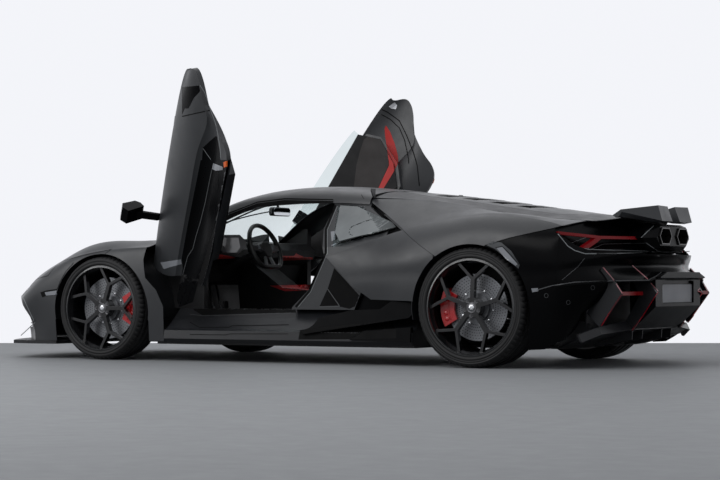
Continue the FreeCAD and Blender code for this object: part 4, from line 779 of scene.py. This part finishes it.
def add_steering_wheel():
    count, around = 96, 16
    ring_radius, flat_level = 0.170, -0.132
    rim_half, rim_half_deep, grip_swell = 0.0145, 0.0165, 0.22
    points, faces = [], []
    for k in range(count):
        angle = whole_turn * k / count
        a, b = ring_radius * math.cos(angle), ring_radius * math.sin(angle)
        b = flat_level + 0.5 * ((b - flat_level) + math.sqrt((b - flat_level) ** 2 + 0.0004))
        outward = Vector((a, b)).normalized()
        grip = 1.0
        if 0 < angle < math.pi:
            grip += grip_swell * math.exp(-((math.degrees(angle) % 180 - 22) / 9) ** 2)
        for m in range(around):
            turn = whole_turn * m / around
            reach = rim_half * (grip if math.cos(turn) < 0.4 else 1.0) * math.cos(turn)
            points.append((a + outward.x * reach, b + outward.y * reach, rim_half_deep * math.sin(turn)))
            n, q = (m + 1) % around, (k + 1) % count
            faces.append([k * around + m, k * around + n, q * around + n, q * around + m])
    add_wheel_piece("rim", (points, faces), black_leather, smooth=True)

    def slab(label, outline, low, high, material, inset=0.001, soft=0.001):
        add_wheel_piece(label, prism(outline, low, high, "z", inset), material, soft=soft)

    slab("pad", [(-0.058, 0.03), (-0.03, 0.048), (0.03, 0.048), (0.058, 0.03), (0.062, -0.014),
                 (0.03, -0.06), (-0.03, -0.06), (-0.062, -0.014)], -0.03, 0.018, black_leather, 0.006, 0.004)
    for label, sign in sides:
        for name, outline, low, high, material, soft in (
                ("spoke_", [(0.05, 0.026), (0.165, 0.022), (0.165, -0.014), (0.055, -0.024)],
                 -0.014, 0.008, dark_metal, 0.002),
                ("lower_spoke_", [(0.018, -0.05), (0.034, -0.05), (0.062, -0.128), (0.04, -0.128)],
                 -0.01, 0.006, silver_trim_and_painted_highlight, 0.001),
                ("keys_", [(0.068, 0.018), (0.1, 0.017), (0.098, -0.006), (0.07, -0.01)],
                 0.006, 0.012, lens_grey, 0.001),
                ("paddle_", [(0.09, 0.06), (0.135, 0.05), (0.142, -0.02), (0.1, -0.034)],
                 -0.05, -0.044, carbon("paddle_weave_" + label), 0.001)):
            slab(name + label, [(sign * a, b) for a, b in outline], low, high, material, soft, soft)
    profile, turned_faces = turned([(0.034, -0.12), (0.034, -0.03), (0.05, -0.02), (0.0, -0.02)], 32)
    add_wheel_piece("column", ([(p.x, p.z, p.y) for p in profile], turned_faces), satin_black, smooth=True)
    stitch = [on_wheel(a, b, 0.006) for a, b in ellipse(0, 0, 0.158, 0.158, 80)[:41]]
    add_piece("steering_stitching", rod(stitch, 0.0012, 6), bright_red, "leather", "steering_wheel",
              smooth=True, node="steering_wheel")


add_steering_wheel()

# Enlarged crops of the photograph in which places were read: left, top and scale
cabin_crop = (190, 180, 9.5)
tail_crop = (520, 190, 7.84)
flank_crop = (310, 180, 6.272)
nose_crop = (0, 225, 9.503)
tip_crop = (150, 60, 15.68)
door_crop = (140, 160, 9.227)
door_side_crop = (140, 60, 5.806)
far_door_crop = (310, 85, 11.2)


def add_dash_details():
    """Instrument hood and screen, mirror, pedals and mats."""
    face = front_axle - 0.706

    def on_rear_face(places, level):
        """Outline where these places meet the plane across the car at this x."""
        spots = zoomed(cabin_crop, places)
        return [tuple(on_plane(px, py, Vector((level, 0, 0)), Vector((1, 0, 0))))[1:] for px, py in spots]

    def fitting(name, group, material, soft=0.0, smooth=False):
        add_piece(name, group, material, "interior", soft=soft, smooth=smooth)

    shape = on_rear_face([(270, 560), (335, 520), (480, 520), (535, 575), (540, 640), (462, 705), (300, 695),
                          (264, 640)], face)
    fitting("instrument_hood", prism(shape, face + 0.12, face, "x", 0.006), satin_black, 0.004)
    shape = on_rear_face([(325, 548), (462, 548), (478, 640), (440, 690), (350, 690), (300, 600)],
                         face - 0.0015)
    fitting("instrument_screen", prism(shape, face + 0.002, face - 0.0015, "x", 0.0006), screen_face)
    mirror = on_plane(*zoomed(cabin_crop, [(870, 305)])[0], Vector((0, 0, 0)), Vector((0, 1, 0)))
    shape = [(-0.118, 0.02), (-0.1, 0.032), (0.1, 0.032), (0.118, 0.02), (0.118, -0.018), (0.104, -0.028),
             (-0.104, -0.028), (-0.118, -0.018)]
    shell = [(y, mirror.z + z) for y, z in shape]
    pane = [(y * 0.9, mirror.z + z * 0.82) for y, z in shape]
    fitting("cabin_mirror", prism(shell, mirror.x + 0.03, mirror.x - 0.004, "x", 0.008), satin_black, 0.004)
    fitting("cabin_mirror_glass", prism(pane, mirror.x - 0.001, mirror.x - 0.0055, "x", 0.001), mirror_face)
    stem = mirror + Vector((0.02, 0, 0))
    top = carrier(["roof_panel", "glazing", "cowl"]).ray_cast(stem, Vector((0.25, 0, 1)).normalized())[0]
    fitting("cabin_mirror_stem", rod([stem, stem.lerp(top, 0.5), top], 0.009), satin_black, smooth=True)
    foot, pedal_width = 0.26, 0.055
    for label, left, height in (("1", 0.20, 0.13), ("2", 0.29, 0.075), ("3", 0.40, 0.075)):
        right, head = left + pedal_width, foot + height
        shape = [(left, foot), (right, foot), (right, head), (left, head)]
        fitting("pedal_" + label, prism(shape, front_axle - 0.5, front_axle - 0.512, "x", 0.002), dark_metal,
                0.003)
        arm = [(front_axle - along, left + 0.027, up)
               for along, up in ((0.5, 0.30), (0.46, 0.36), (0.43, 0.50))]
        fitting("pedal_arm_" + label, rod(arm, 0.007), dark_metal, smooth=True)
    for side, sign in sides:
        mat = block((front_axle - 0.56, front_axle - 0.885), (0.1725, 0.182), (0.15, 0.60), sign)
        fitting("floor_mat_" + side, mat, panel_brown, 0.004)


add_dash_details()


# Marks, lines and small fittings, placed by the photograph
def add_marks(crop, rows, **shared):
    """A patch, or a ribbon where a width is given, per row: name, nodes, width, material, slot, places."""
    for name, names, width, material, slot_name, places, *others in rows:
        options = dict(shared, slot_name=slot_name, **(others[0] if others else {}))
        spots = zoomed(crop, places)
        if width:
            stripe(name, names.split(), spots, width, material, **options)
        else:
            decal(name, names.split(), spots, material, **options)


# The silver and grey ribbons in this table are painted highlights along edges, seams and sensor rings
add_marks(tail_crop, [
    ("recess_edge_line", "rear_bumper tail_panel", 0.9, silver_trim_and_painted_highlight, "gloss_black", [(290, 335), (375, 440),
     (430, 475), (510, 500), (760, 497), (1000, 490)]),
    ("lamp_frame_line", "tail_panel", 0.7, painted_highlight_line, "gloss_black", [(505, 485), (580, 455), (655, 425),
     (990, 415)]),
    ("lamp_inner_line", "tail_panel", 0.6, painted_highlight_line, "gloss_black", [(375, 425), (470, 390), (520, 372)]),
    ("pipe_frame_line", "tail_panel rear_bumper", 0.8, silver_trim_and_painted_highlight, "gloss_black", [(950, 375), (1000, 325),
     (1050, 280)]),
    ("pipe_frame_low_line", "tail_panel rear_bumper", 0.8, silver_trim_and_painted_highlight, "gloss_black", [(990, 415),
     (1080, 478), (1190, 495), (1330, 482)]),
    ("ledge_edge_line", "rear_bumper", 0.9, painted_highlight_line, "gloss_black", [(130, 785), (250, 750), (430, 722),
     (730, 712), (1010, 706), (1070, 675), (1110, 645)]),
    ("rear_side_marker", "rear_bumper", 0, lens_grey, "red_lens", [(88, 772), (140, 768), (145, 792),
     (98, 802)]),
    ("bumper_seam_line", "rear_bumper", 0.45, painted_highlight_line, "gloss_black", [(505, 535), (455, 600),
     (330, 705)]),
    # The pale upper and middle runs of the pinstripes are painted reflection on red
    ("outer_fin_pinstripe_upper", "tail_blades rear_bumper", 0.9, painted_reflection_stripe, "red_lens", [(650, 605),
     (738, 712)]),
    ("outer_fin_pinstripe_middle", "tail_blades rear_bumper", 0.9, painted_reflection_stripe, "red_lens", [(752, 735),
     (800, 808)]),
    ("outer_fin_pinstripe_lower", "tail_blades rear_bumper", 0.9, red_line, "red_lens", [(800, 812),
     (720, 930), (635, 1068)]),
    ("inner_fin_pinstripe_upper", "tail_blades rear_bumper", 0.9, painted_reflection_stripe, "red_lens", [(880, 592),
     (1003, 700)]),
    ("inner_fin_pinstripe_middle", "tail_blades rear_bumper", 0.9, painted_reflection_stripe, "red_lens", [(1025, 730),
     (1082, 792)]),
    ("inner_fin_pinstripe_lower", "tail_blades rear_bumper", 0.9, red_line, "red_lens", [(1082, 798),
     (960, 990), (880, 1098)]),
    ("sensor_ring_206", "rear_bumper", 0.35, painted_highlight_line, "gloss_black", ellipse(206, 828, 15, 17, 12),
     dict(step=0.5, closed=True)),
    ("sensor_ring_378", "rear_bumper", 0.35, painted_highlight_line, "gloss_black", ellipse(378, 881, 15, 17, 12),
     dict(step=0.5, closed=True)),
    ("sensor_ring_570", "rear_bumper", 0.35, painted_highlight_line, "gloss_black", ellipse(570, 766, 15, 17, 12),
     dict(step=0.5, closed=True))])
# The thin silver and grey lines in this table are painted highlights along the cant rail, seal and sill
# edges
add_marks(cabin_crop, [
    ("cant_rail", "roof_panel body_joiners", 0, black_gap_and_painted_shade, "satin_black", [(350, 318), (640, 205),
     (900, 172), (1362, 182), (1362, 216), (1000, 224), (640, 256), (352, 378)]),
    ("cant_rail_line", "roof_panel body_joiners", 0.4, painted_highlight_line, "satin_black", [(360, 330), (640, 222),
     (900, 190), (1362, 198)], dict(lift=0.003)),
    ("aperture_seal", "side_frames", 2.2, black_gap_and_painted_shade, "satin_black", [(1384, 240), (1290, 470), (1290, 690),
     (1130, 1060), (1004, 1206)]),
    ("aperture_seal_line", "side_frames", 0.5, silver_trim_and_painted_highlight, "satin_black", [(1402, 250), (1308, 475),
     (1308, 696), (1148, 1064), (1030, 1206)], dict(lift=0.002)),
    ("sill_seal", "sills", 0, black_gap_and_painted_shade, "satin_black", [(30, 1222), (1005, 1222), (1005, 1262), (120, 1286),
     (40, 1240)]),
    ("skirt_black", "sills side_blades", 0, black_gap_and_painted_shade, "gloss_black", [(1045, 1425), (1275, 1400),
     (1568, 1370), (1900, 1330), (1960, 1420), (1960, 1505), (1568, 1512), (1030, 1516)]),
    ("sill_step_upper", "sills", 0.7, black_gap_and_painted_shade, "satin_black", [(0, 1352), (90, 1402), (370, 1400),
     (400, 1386), (940, 1376)]),
    ("sill_step_lower", "sills", 0.7, black_gap_and_painted_shade, "satin_black", [(0, 1468), (340, 1472), (380, 1462),
     (930, 1462)]),
    ("sill_step_edge", "sills", 0.5, painted_highlight_line, "satin_black", [(0, 1275), (120, 1290), (1000, 1262)]),
    ("dash_band_left", "dashboard", 0, bright_red, "leather", [(214, 694), (290, 722), (430, 735),
     (425, 742), (216, 752)], dict(mirrored=False, lift=0.002)),
    ("dash_band_right", "dashboard", 0, bright_red, "leather", [(846, 722), (985, 722), (1006, 698),
     (1080, 732), (1164, 738), (1164, 754), (880, 764)], dict(mirrored=False, lift=0.002)),
    ("console_band", "dashboard", 0, red_leather, "leather", [(760, 1004), (1000, 1000), (1150, 996),
     (1162, 1022), (1120, 1048), (900, 1056)], dict(mirrored=False, lift=0.002))])
add_marks(flank_crop, [
    # The black scoop mouth is painted shade inside the intake recess
    ("scoop_mouth", "side_frames side_blades", 0, black_gap_and_painted_shade, "gloss_black", [(152, 552), (240, 648),
     (326, 742), (296, 786), (246, 808), (196, 796), (58, 796), (112, 680)]),
    # The pale quarter pane sheet is a painted reflection
    ("quarter_pane_sheen", "glazing", 0, painted_pane_reflection, "glass", [(190, 160), (300, 168), (420, 222),
     (520, 268), (540, 296), (430, 326), (300, 354), (186, 384), (158, 330)], dict(lift=0.002, depth=0.002)),
    # The grey scoop lines are painted highlights along the intake's edges
    ("scoop_edge_line", "side_frames side_blades", 0.7, painted_highlight_line, "gloss_black", [(112, 684), (185, 788)],
     dict(lift=0.003)),
    ("scoop_floor_line", "side_frames side_blades", 1.0, painted_highlight_line, "gloss_black", [(60, 796), (188, 792)],
     dict(lift=0.003)),
    # The light grey patch by the arch lamp is a painted highlight on the paint
    ("arch_lamp_painted_highlight", "rear_fenders rear_bumper", 0, lamp_panel_painted_highlight, "gloss_black", [(1105, 408), (1145, 384),
     (1200, 392), (1262, 445), (1316, 532), (1308, 556), (1250, 508), (1160, 432)]),
    ("arch_lamp_lens", "rear_fenders rear_bumper", 0, lens_grey, "red_lens", [(1172, 428), (1206, 420),
     (1250, 468), (1304, 528), (1290, 538), (1228, 494)], dict(lift=0.003)),
    ("arch_lamp_line", "rear_fenders rear_bumper", 0.5, black_gap_and_painted_shade, "gloss_black", [(1165, 426), (1206, 416),
     (1254, 464), (1310, 528)], dict(lift=0.004)),
    ("pane_lower_line", "side_frames glazing quarter_panels", 0.9, black_gap_and_painted_shade, "gloss_black", [(175, 400),
     (300, 366), (430, 338), (556, 300)], dict(lift=0.002)),
    ("pane_guide", "glazing side_frames", 0.8, black_gap_and_painted_shade, "gloss_black", [(268, 350), (247, 338), (246, 318),
     (262, 294), (340, 262), (432, 236), (452, 246)], dict(lift=0.002)),
    ("latch_plate", "side_frames", 0, lens_grey, "hub_metal", [(130, 324), (158, 320), (164, 372),
     (136, 384)]),
    ("latch_bar", "side_frames", 1.2, lens_grey, "hub_metal", [(136, 412), (165, 398)]),
    ("roof_seam", "roof_panel rear_deck rear_fenders", 0.6, black_gap_and_painted_shade, "satin_black", [(322, 92),
     (338, 118)])])
add_marks(nose_crop, [
    ("front_marker_surround", "front_bumper fenders", 0, black_gap_and_painted_shade, "gloss_black", [(384, 640), (440, 622),
     (548, 606), (546, 668), (445, 674), (402, 688)]),
    ("front_marker_lens", "front_bumper fenders", 0, lens_grey, "lamp", [(428, 640), (540, 622), (538, 664),
     (440, 671)], dict(lift=0.003)),
    # The silver nose edge line is a painted highlight
    ("nose_edge_line", "front_bumper", 0.8, silver_trim_and_painted_highlight, "gloss_black", [(212, 668), (262, 780), (332, 928),
     (200, 1050)]),
    ("arch_trim_line", "front_bumper fenders", 0.5, black_gap_and_painted_shade, "satin_black", [(700, 358), (620, 450),
     (568, 545), (546, 606)]),
    ("nose_corner_vent", "front_bumper", 0, black_gap_and_painted_shade, "satin_black", [(300, 882), (336, 905), (328, 932)],
     dict(step=1.0))])
add_marks(tip_crop, [
    ("door_tip_glass", "door_left door_trim_left", 0, gloss_black, "gloss_black", [(500, 425), (770, 400),
     (785, 490), (690, 590), (600, 760), (545, 760), (505, 850)]),
    ("door_tip_seam", "door_left door_trim_left", 1.1, black_gap_and_painted_shade, "satin_black", [(505, 885), (720, 836),
     (935, 790)]),
    # The silver door edge and seam lines are painted highlights
    ("door_edge_line", "door_left door_trim_left", 0.8, silver_trim_and_painted_highlight, "satin_black", [(785, 400), (860, 520),
     (940, 760), (1020, 980), (1060, 1130), (1105, 1400), (1112, 1568)]),
    ("door_seam_line", "door_left door_trim_left", 0.6, silver_trim_and_painted_highlight, "gloss_black", [(835, 1385),
     (960, 1560)], dict(lift=0.003))], body="door_left")
add_marks(door_side_crop, [
    ("door_inner_edge", "door_left door_trim_left", 0, black_gap_and_painted_shade, "gloss_black", [(442, 940), (424, 1110),
     (364, 1312), (330, 1290), (368, 1120), (404, 980)])], body="door_left")
add_marks(door_crop, [
    # The grey door line is a painted highlight along the lower door
    ("door_lower_line", "door_left door_trim_left", 0.7, painted_highlight_line, "gloss_black", [(665, 90), (605, 390),
     (560, 570), (520, 700), (490, 818), (442, 888), (400, 1040), (372, 1200)], dict(lift=0.003)),
    ("door_latch", "door_left door_trim_left", 0, lens_grey, "hub_metal", [(680, 28), (770, 62), (768, 92),
     (705, 98), (668, 82)], dict(lift=0.004)),
    ("door_courtesy_lamp", "door_left door_trim_left", 0, amber, "red_lens", [(774, 22), (802, 8), (802, 58),
     (780, 72)], dict(lift=0.004, step=1.0)),
    ("door_hinge_cover", "door_left door_trim_left", 0, lens_grey, "body_paint", [(190, 945), (378, 916),
     (386, 958), (222, 1006)], dict(lift=0.002))], body="door_left")
add_marks(far_door_crop, [
    ("door_panel", "door_trim_right", 0, panel_brown, "leather", [(850, 432), (780, 470), (700, 540),
     (605, 610), (560, 740), (520, 900), (490, 1150), (760, 1160), (880, 900), (878, 800), (838, 560),
     (835, 480)], dict(step=1.0, only=True)),
    ("door_seal_outer", "door_trim_right door_right", 0.9, black_gap_and_painted_shade, "satin_black", [(805, 275), (870, 305),
     (1000, 400), (1080, 560), (1160, 760), (1200, 900), (1225, 1130)], dict(lift=0.003)),
    ("door_seal_inner", "door_trim_right door_right", 0.8, black_gap_and_painted_shade, "satin_black", [(800, 330), (900, 385),
     (1000, 480), (1060, 620), (1105, 830), (1105, 880)], dict(lift=0.003)),
    ("door_striker", "door_trim_right door_right", 0, bright_metal, "hub_metal", [(880, 242), (945, 195),
     (975, 225), (962, 272), (905, 262)], dict(lift=0.003, step=1.0))], body="door_right")
armrest = zoomed(far_door_crop, [
    (850, 452), (898, 525), (950, 660), (985, 790), (990, 870), (940, 970), (822, 1162), (765, 1160),
    (884, 905), (884, 860), (840, 560), (836, 485)])
for label, name in (("rear", "door_right"), ("front", "door_trim_right")):
    decal("door_armrest_" + label, [name], armrest, bright_red, step=1.0, body="door_right", lift=0.002,
          only=True, slot_name="leather")
lower_face = zoomed(tip_crop, [(1030, 1195), (940, 1270), (830, 1372), (815, 1568)])
lower_face += zoomed(door_crop, [
    (560, 0), (440, 600), (385, 905), (395, 1000), (340, 1290), (365, 1360), (490, 1310), (570, 1000),
    (640, 775), (735, 480), (835, 0)])
lower_face += zoomed(tip_crop, [(1130, 1568), (1112, 1568), (1050, 1200)])
decal("door_lower_face", ["door_left", "door_trim_left"], lower_face, gloss_black, step=3.0,
      body="door_left", slot_name="gloss_black")


# Plate carrier and other outer fittings built in place
def trim(name, group, material=satin_black, slot_name="satin_black", **options):
    add_piece(name, group, material, slot_name, **options)


def chamfered(half_width, low, high, corner):
    """A rectangle about the middle with its corners cut off."""
    return [(-half_width, low + corner), (corner - half_width, low), (half_width - corner, low),
            (half_width, low + corner), (half_width, high - corner), (half_width - corner, high),
            (corner - half_width, high), (-half_width, high - corner)]


def add_plate():
    face = rear_axle - 0.930
    carrier_shape = [(-0.262, 0.392), (0.262, 0.392), (0.262, 0.512), (-0.262, 0.512)]
    trim("plate_carrier", prism(carrier_shape, face, face - 0.006, "x", 0.003), soft=0.002)
    trim("blank_plate", prism(chamfered(0.258, 0.396, 0.506, 0.004), face - 0.004, face - 0.008, "x", 0.001),
         plate_grey, "satin_grey")
    for label, low in (("left", 0.236), ("right", -0.246)):
        strip = [(low, 0.404), (low + 0.01, 0.404), (low + 0.01, 0.498), (low, 0.498)]
        trim("plate_edge_strip_" + label, prism(strip, face - 0.0075, face - 0.0088, "x", 0.0003), lens_grey,
             "satin_grey")


def under(tree, x, y):
    """Where a line straight down from above the car meets the carrier."""
    above = 1.6
    return tree.ray_cast(Vector((x, y, above)), Vector((0, 0, -1)))[0]


def sheet_of(rows, depth):
    """A closed slab from rows of points, with its depth downward or backward."""
    count, last = len(rows[0]), len(rows) - 1
    top = [Vector(p) for row in rows for p in row]
    size = len(top)
    faces = [[k, k + 1, k + count + 1, k + count] for k in range(size - count) if (k + 1) % count]
    faces += [[size + face[i] for i in (0, 3, 2, 1)] for face in faces]
    around = list(range(count)) + [i * count + count - 1 for i in range(1, last + 1)]
    around += [last * count + j for j in range(count - 2, -1, -1)]
    around += [i * count for i in range(last - 1, 0, -1)]
    faces += [[a, b, size + b, size + a] for a, b in zip(around, around[1:] + around[:1])]
    return top + [p + Vector(depth) for p in top], faces


def plan_stripe(name, names, line, width, material, slot_name, step=0.02, mirrored=True, closed=False):
    """A thin ribbon along a line seen from above, in metres, laid on the named nodes."""
    tree = carrier(names)
    raised = Vector((0, 0, 0.001))
    rows = [[under(tree, *spot) for spot in pair] for pair in edges_of(line, width, step, closed)]
    group = sheet_of([[p + raised for p in row] for row in rows if all(row)], (0, 0, -0.003))
    if mirrored:
        group = join(group, flipped(group))
    add_piece(name, group, material, slot_name)


def add_louvres():
    """A slat and a dark mesh in each opening of the engine cover."""
    tree = carrier(["engine_cover"])
    low, high, lean = 0.052, 0.350, 0.060 / 0.28
    places = [0.056 + 0.288 * j / 6 for j in range(7)]
    for k, start in enumerate((0.520, 0.330, 0.140, -0.050)):
        front = rear_axle + start - lean * 0.06
        for side, sign in sides:
            ends = [under(tree, front - 0.15 + lean * y, sign * y) for y in (low, high)]
            heights = [p.z if p else 1.0 for p in ends]

            def row(along, drop):
                return [Vector((front + lean * y - along, sign * y, heights[0] - drop
                                + (heights[1] - heights[0]) * (y - low) / (high - low))) for y in places]

            slat = sheet_of([row(0.006 + 0.062 * i / 3, 0.006 + 0.024 * i / 3) for i in range(4)],
                            (0, 0, -0.003))
            trim("louvre_slat_%d_%s" % (k + 1, side), slat, body="engine_cover")
            mesh = sheet_of([row(-0.006 + 0.112 * i / 3, 0.038) for i in range(4)], (0, 0, -0.002))
            trim("louvre_mesh_%d_%s" % (k + 1, side), mesh, mesh_grille, body="engine_cover")


def add_front_details():
    """Intake mesh and blades, lamp bars and rings, fuel flap and wiper."""
    tree = carrier(["front_bumper"])
    sections = []
    lip_height, set_back, slope, foot, head = 0.365, 0.085, 0.02, 0.19, 0.36
    for k in range(33):
        y = -0.80 + 0.05 * k
        edge = tree.ray_cast(Vector((3.0, y, lip_height)), Vector((-1, 0, 0)))[0]
        if edge:
            sections.append([Vector((edge.x - set_back - slope * (head - z), y, z))
                             for z in [foot + 0.0175 * i for i in range(11)]])
    trim("intake_mesh", sheet_of(sections, (-0.003, 0, 0)), mesh_grille)
    for k, z in enumerate((0.235, 0.275, 0.315)):
        rows = [[Vector((section[0].x + forward_step, section[0].y, z)) for forward_step in (0, 0.014)]
                for section in sections]
        trim("intake_blade_%d" % (k + 1), sheet_of(rows, (0, 0, -0.004)))
    for name, line, width in (("lamp_bar_upper", [(0.720, 0.600), (0.800, 0.655), (0.790, 0.715)], 0.012),
                              ("lamp_bar_middle", [(0.800, 0.655), (0.880, 0.600)], 0.012),
                              ("lamp_bar_outer", [(0.790, 0.715), (0.742, 0.800)], 0.010)):
        plan_stripe(name, ["headlamps"], [(front_axle + x, y) for x, y in line], width, white_glow, "lamp")
    for name, x, y in (("lamp_ring_1", 0.835, 0.600), ("lamp_ring_2", 0.765, 0.700)):
        ring = ellipse(front_axle + x, y, 0.022, 0.022, 16)
        plan_stripe(name, ["headlamps"], ring, 0.005, dark_metal, "lamp", step=0.006, closed=True)
    plan_stripe("fuel_flap_line", ["rear_fenders", "rear_deck"],
                ellipse(rear_axle + 0.15, -0.80, 0.075, 0.075, 32), 0.004, black_gap_and_painted_shade, "satin_black",
                step=0.01, mirrored=False, closed=True)
    screen = carrier(["glazing", "cowl"])
    for name, count, start, end, lift, sink, radius, around in (
            ("wiper_arm", 15, (0.36, 0.32), (0.70, -0.04), 0.016, 0.006, 0.006, 10),
            ("wiper_blade", 21, (0.44, 0.42), (0.68, -0.32), 0.006, 0.0, 0.0045, 8)):
        line = []
        for share in [k / (count - 1) for k in range(count)]:
            spot = under(screen, front_axle - start[0] - (end[0] - start[0]) * share,
                         start[1] + (end[1] - start[1]) * share)
            if spot:
                line.append(spot + Vector((0, 0, lift - sink * share)))
        trim(name, rod(line, radius, around), smooth=True)


def add_painted_shade_plates():
    """Dark plates that close the gap beside the diffuser, as painted shade where shadow shows through it."""
    outline = [(rear_axle + x, z) for x, z in ((-0.45, 0.145), (-0.46, 0.21), (-0.50, 0.25), (-0.58, 0.285),
                                               (-0.66, 0.27), (-0.66, 0.19), (-0.60, 0.15))]
    for side, sign in sides:
        trim("tail_shade_plate_" + side, prism(outline, *sorted((sign * 0.655, sign * 0.70))))


add_plate()
add_louvres()
add_front_details()
add_painted_shade_plates()


# Floor, light and background
def add_stage():
    mesh = bpy.data.meshes.new("studio_floor")
    reach, horizon = 60.0, 18.3
    ahead = Vector((math.sin(camera_yaw), -math.cos(camera_yaw), 0))
    across = Vector((-ahead.y, ahead.x, 0)) * reach
    far_edge = Vector((camera_place.x, camera_place.y, 0)) + ahead * horizon
    near_edge = far_edge - ahead * reach
    corners = (far_edge + across, near_edge + across, near_edge - across, far_edge - across)
    mesh.from_pydata([tuple(p) for p in corners], [], [(0, 1, 2, 3)])
    floor = bpy.data.objects.new("studio_floor", mesh)
    scene.collection.objects.link(floor)
    floor.data.materials.append(surface("pale_floor", (0.27, 0.28, 0.292), 0.6, vary=0.03, specular=0.2,
                                        grain=60.0, grain_height=0.0002))


def add_light(name, place, size, energy):
    data = bpy.data.lights.new(name, "AREA")
    data.shape = "RECTANGLE"
    data.size, data.size_y = size
    data.energy = energy
    light = bpy.data.objects.new(name, data)
    scene.collection.objects.link(light)
    light.location = place
    light.rotation_euler = (Vector((0, 0, 0.5)) - Vector(place)).to_track_quat("-Z", "Y").to_euler()


def add_world():
    """A pale background for what is seen directly, mirrored or through glass, and softer light elsewhere."""
    world = bpy.data.worlds.new("studio")
    scene.world = world
    world.use_nodes = True
    tree = world.node_tree
    tree.nodes.clear()
    output = tree.nodes.new("ShaderNodeOutputWorld")
    choose = tree.nodes.new("ShaderNodeMixShader")
    rays = tree.nodes.new("ShaderNodeLightPath").outputs
    chosen = rays["Is Camera Ray"]
    for name in ("Is Glossy Ray", "Is Transmission Ray"):
        either = tree.nodes.new("ShaderNodeMath")
        either.operation = "MAXIMUM"
        tree.links.new(chosen, either.inputs[0])
        tree.links.new(rays[name], either.inputs[1])
        chosen = either.outputs[0]
    tree.links.new(chosen, choose.inputs[0])
    for place, colour, strength in ((1, (0.94, 0.96, 1.0, 1.0), 0.3), (2, (0.90, 0.91, 0.95, 1.0), 1.0)):
        background = tree.nodes.new("ShaderNodeBackground")
        background.inputs["Color"].default_value = colour
        background.inputs["Strength"].default_value = strength
        tree.links.new(background.outputs[0], choose.inputs[place])
    tree.links.new(choose.outputs[0], output.inputs[0])


add_stage()
add_world()
add_light("overhead_softbox", (0.8, 0.3, 5.5), (7.0, 4.0), 50.0)
add_light("side_softbox", (1.2, 7.5, 6.0), (9.0, 3.0), 330.0)
add_light("front_side_softbox", (7.5, 8.0, 3.6), (5.0, 3.0), 190.0)
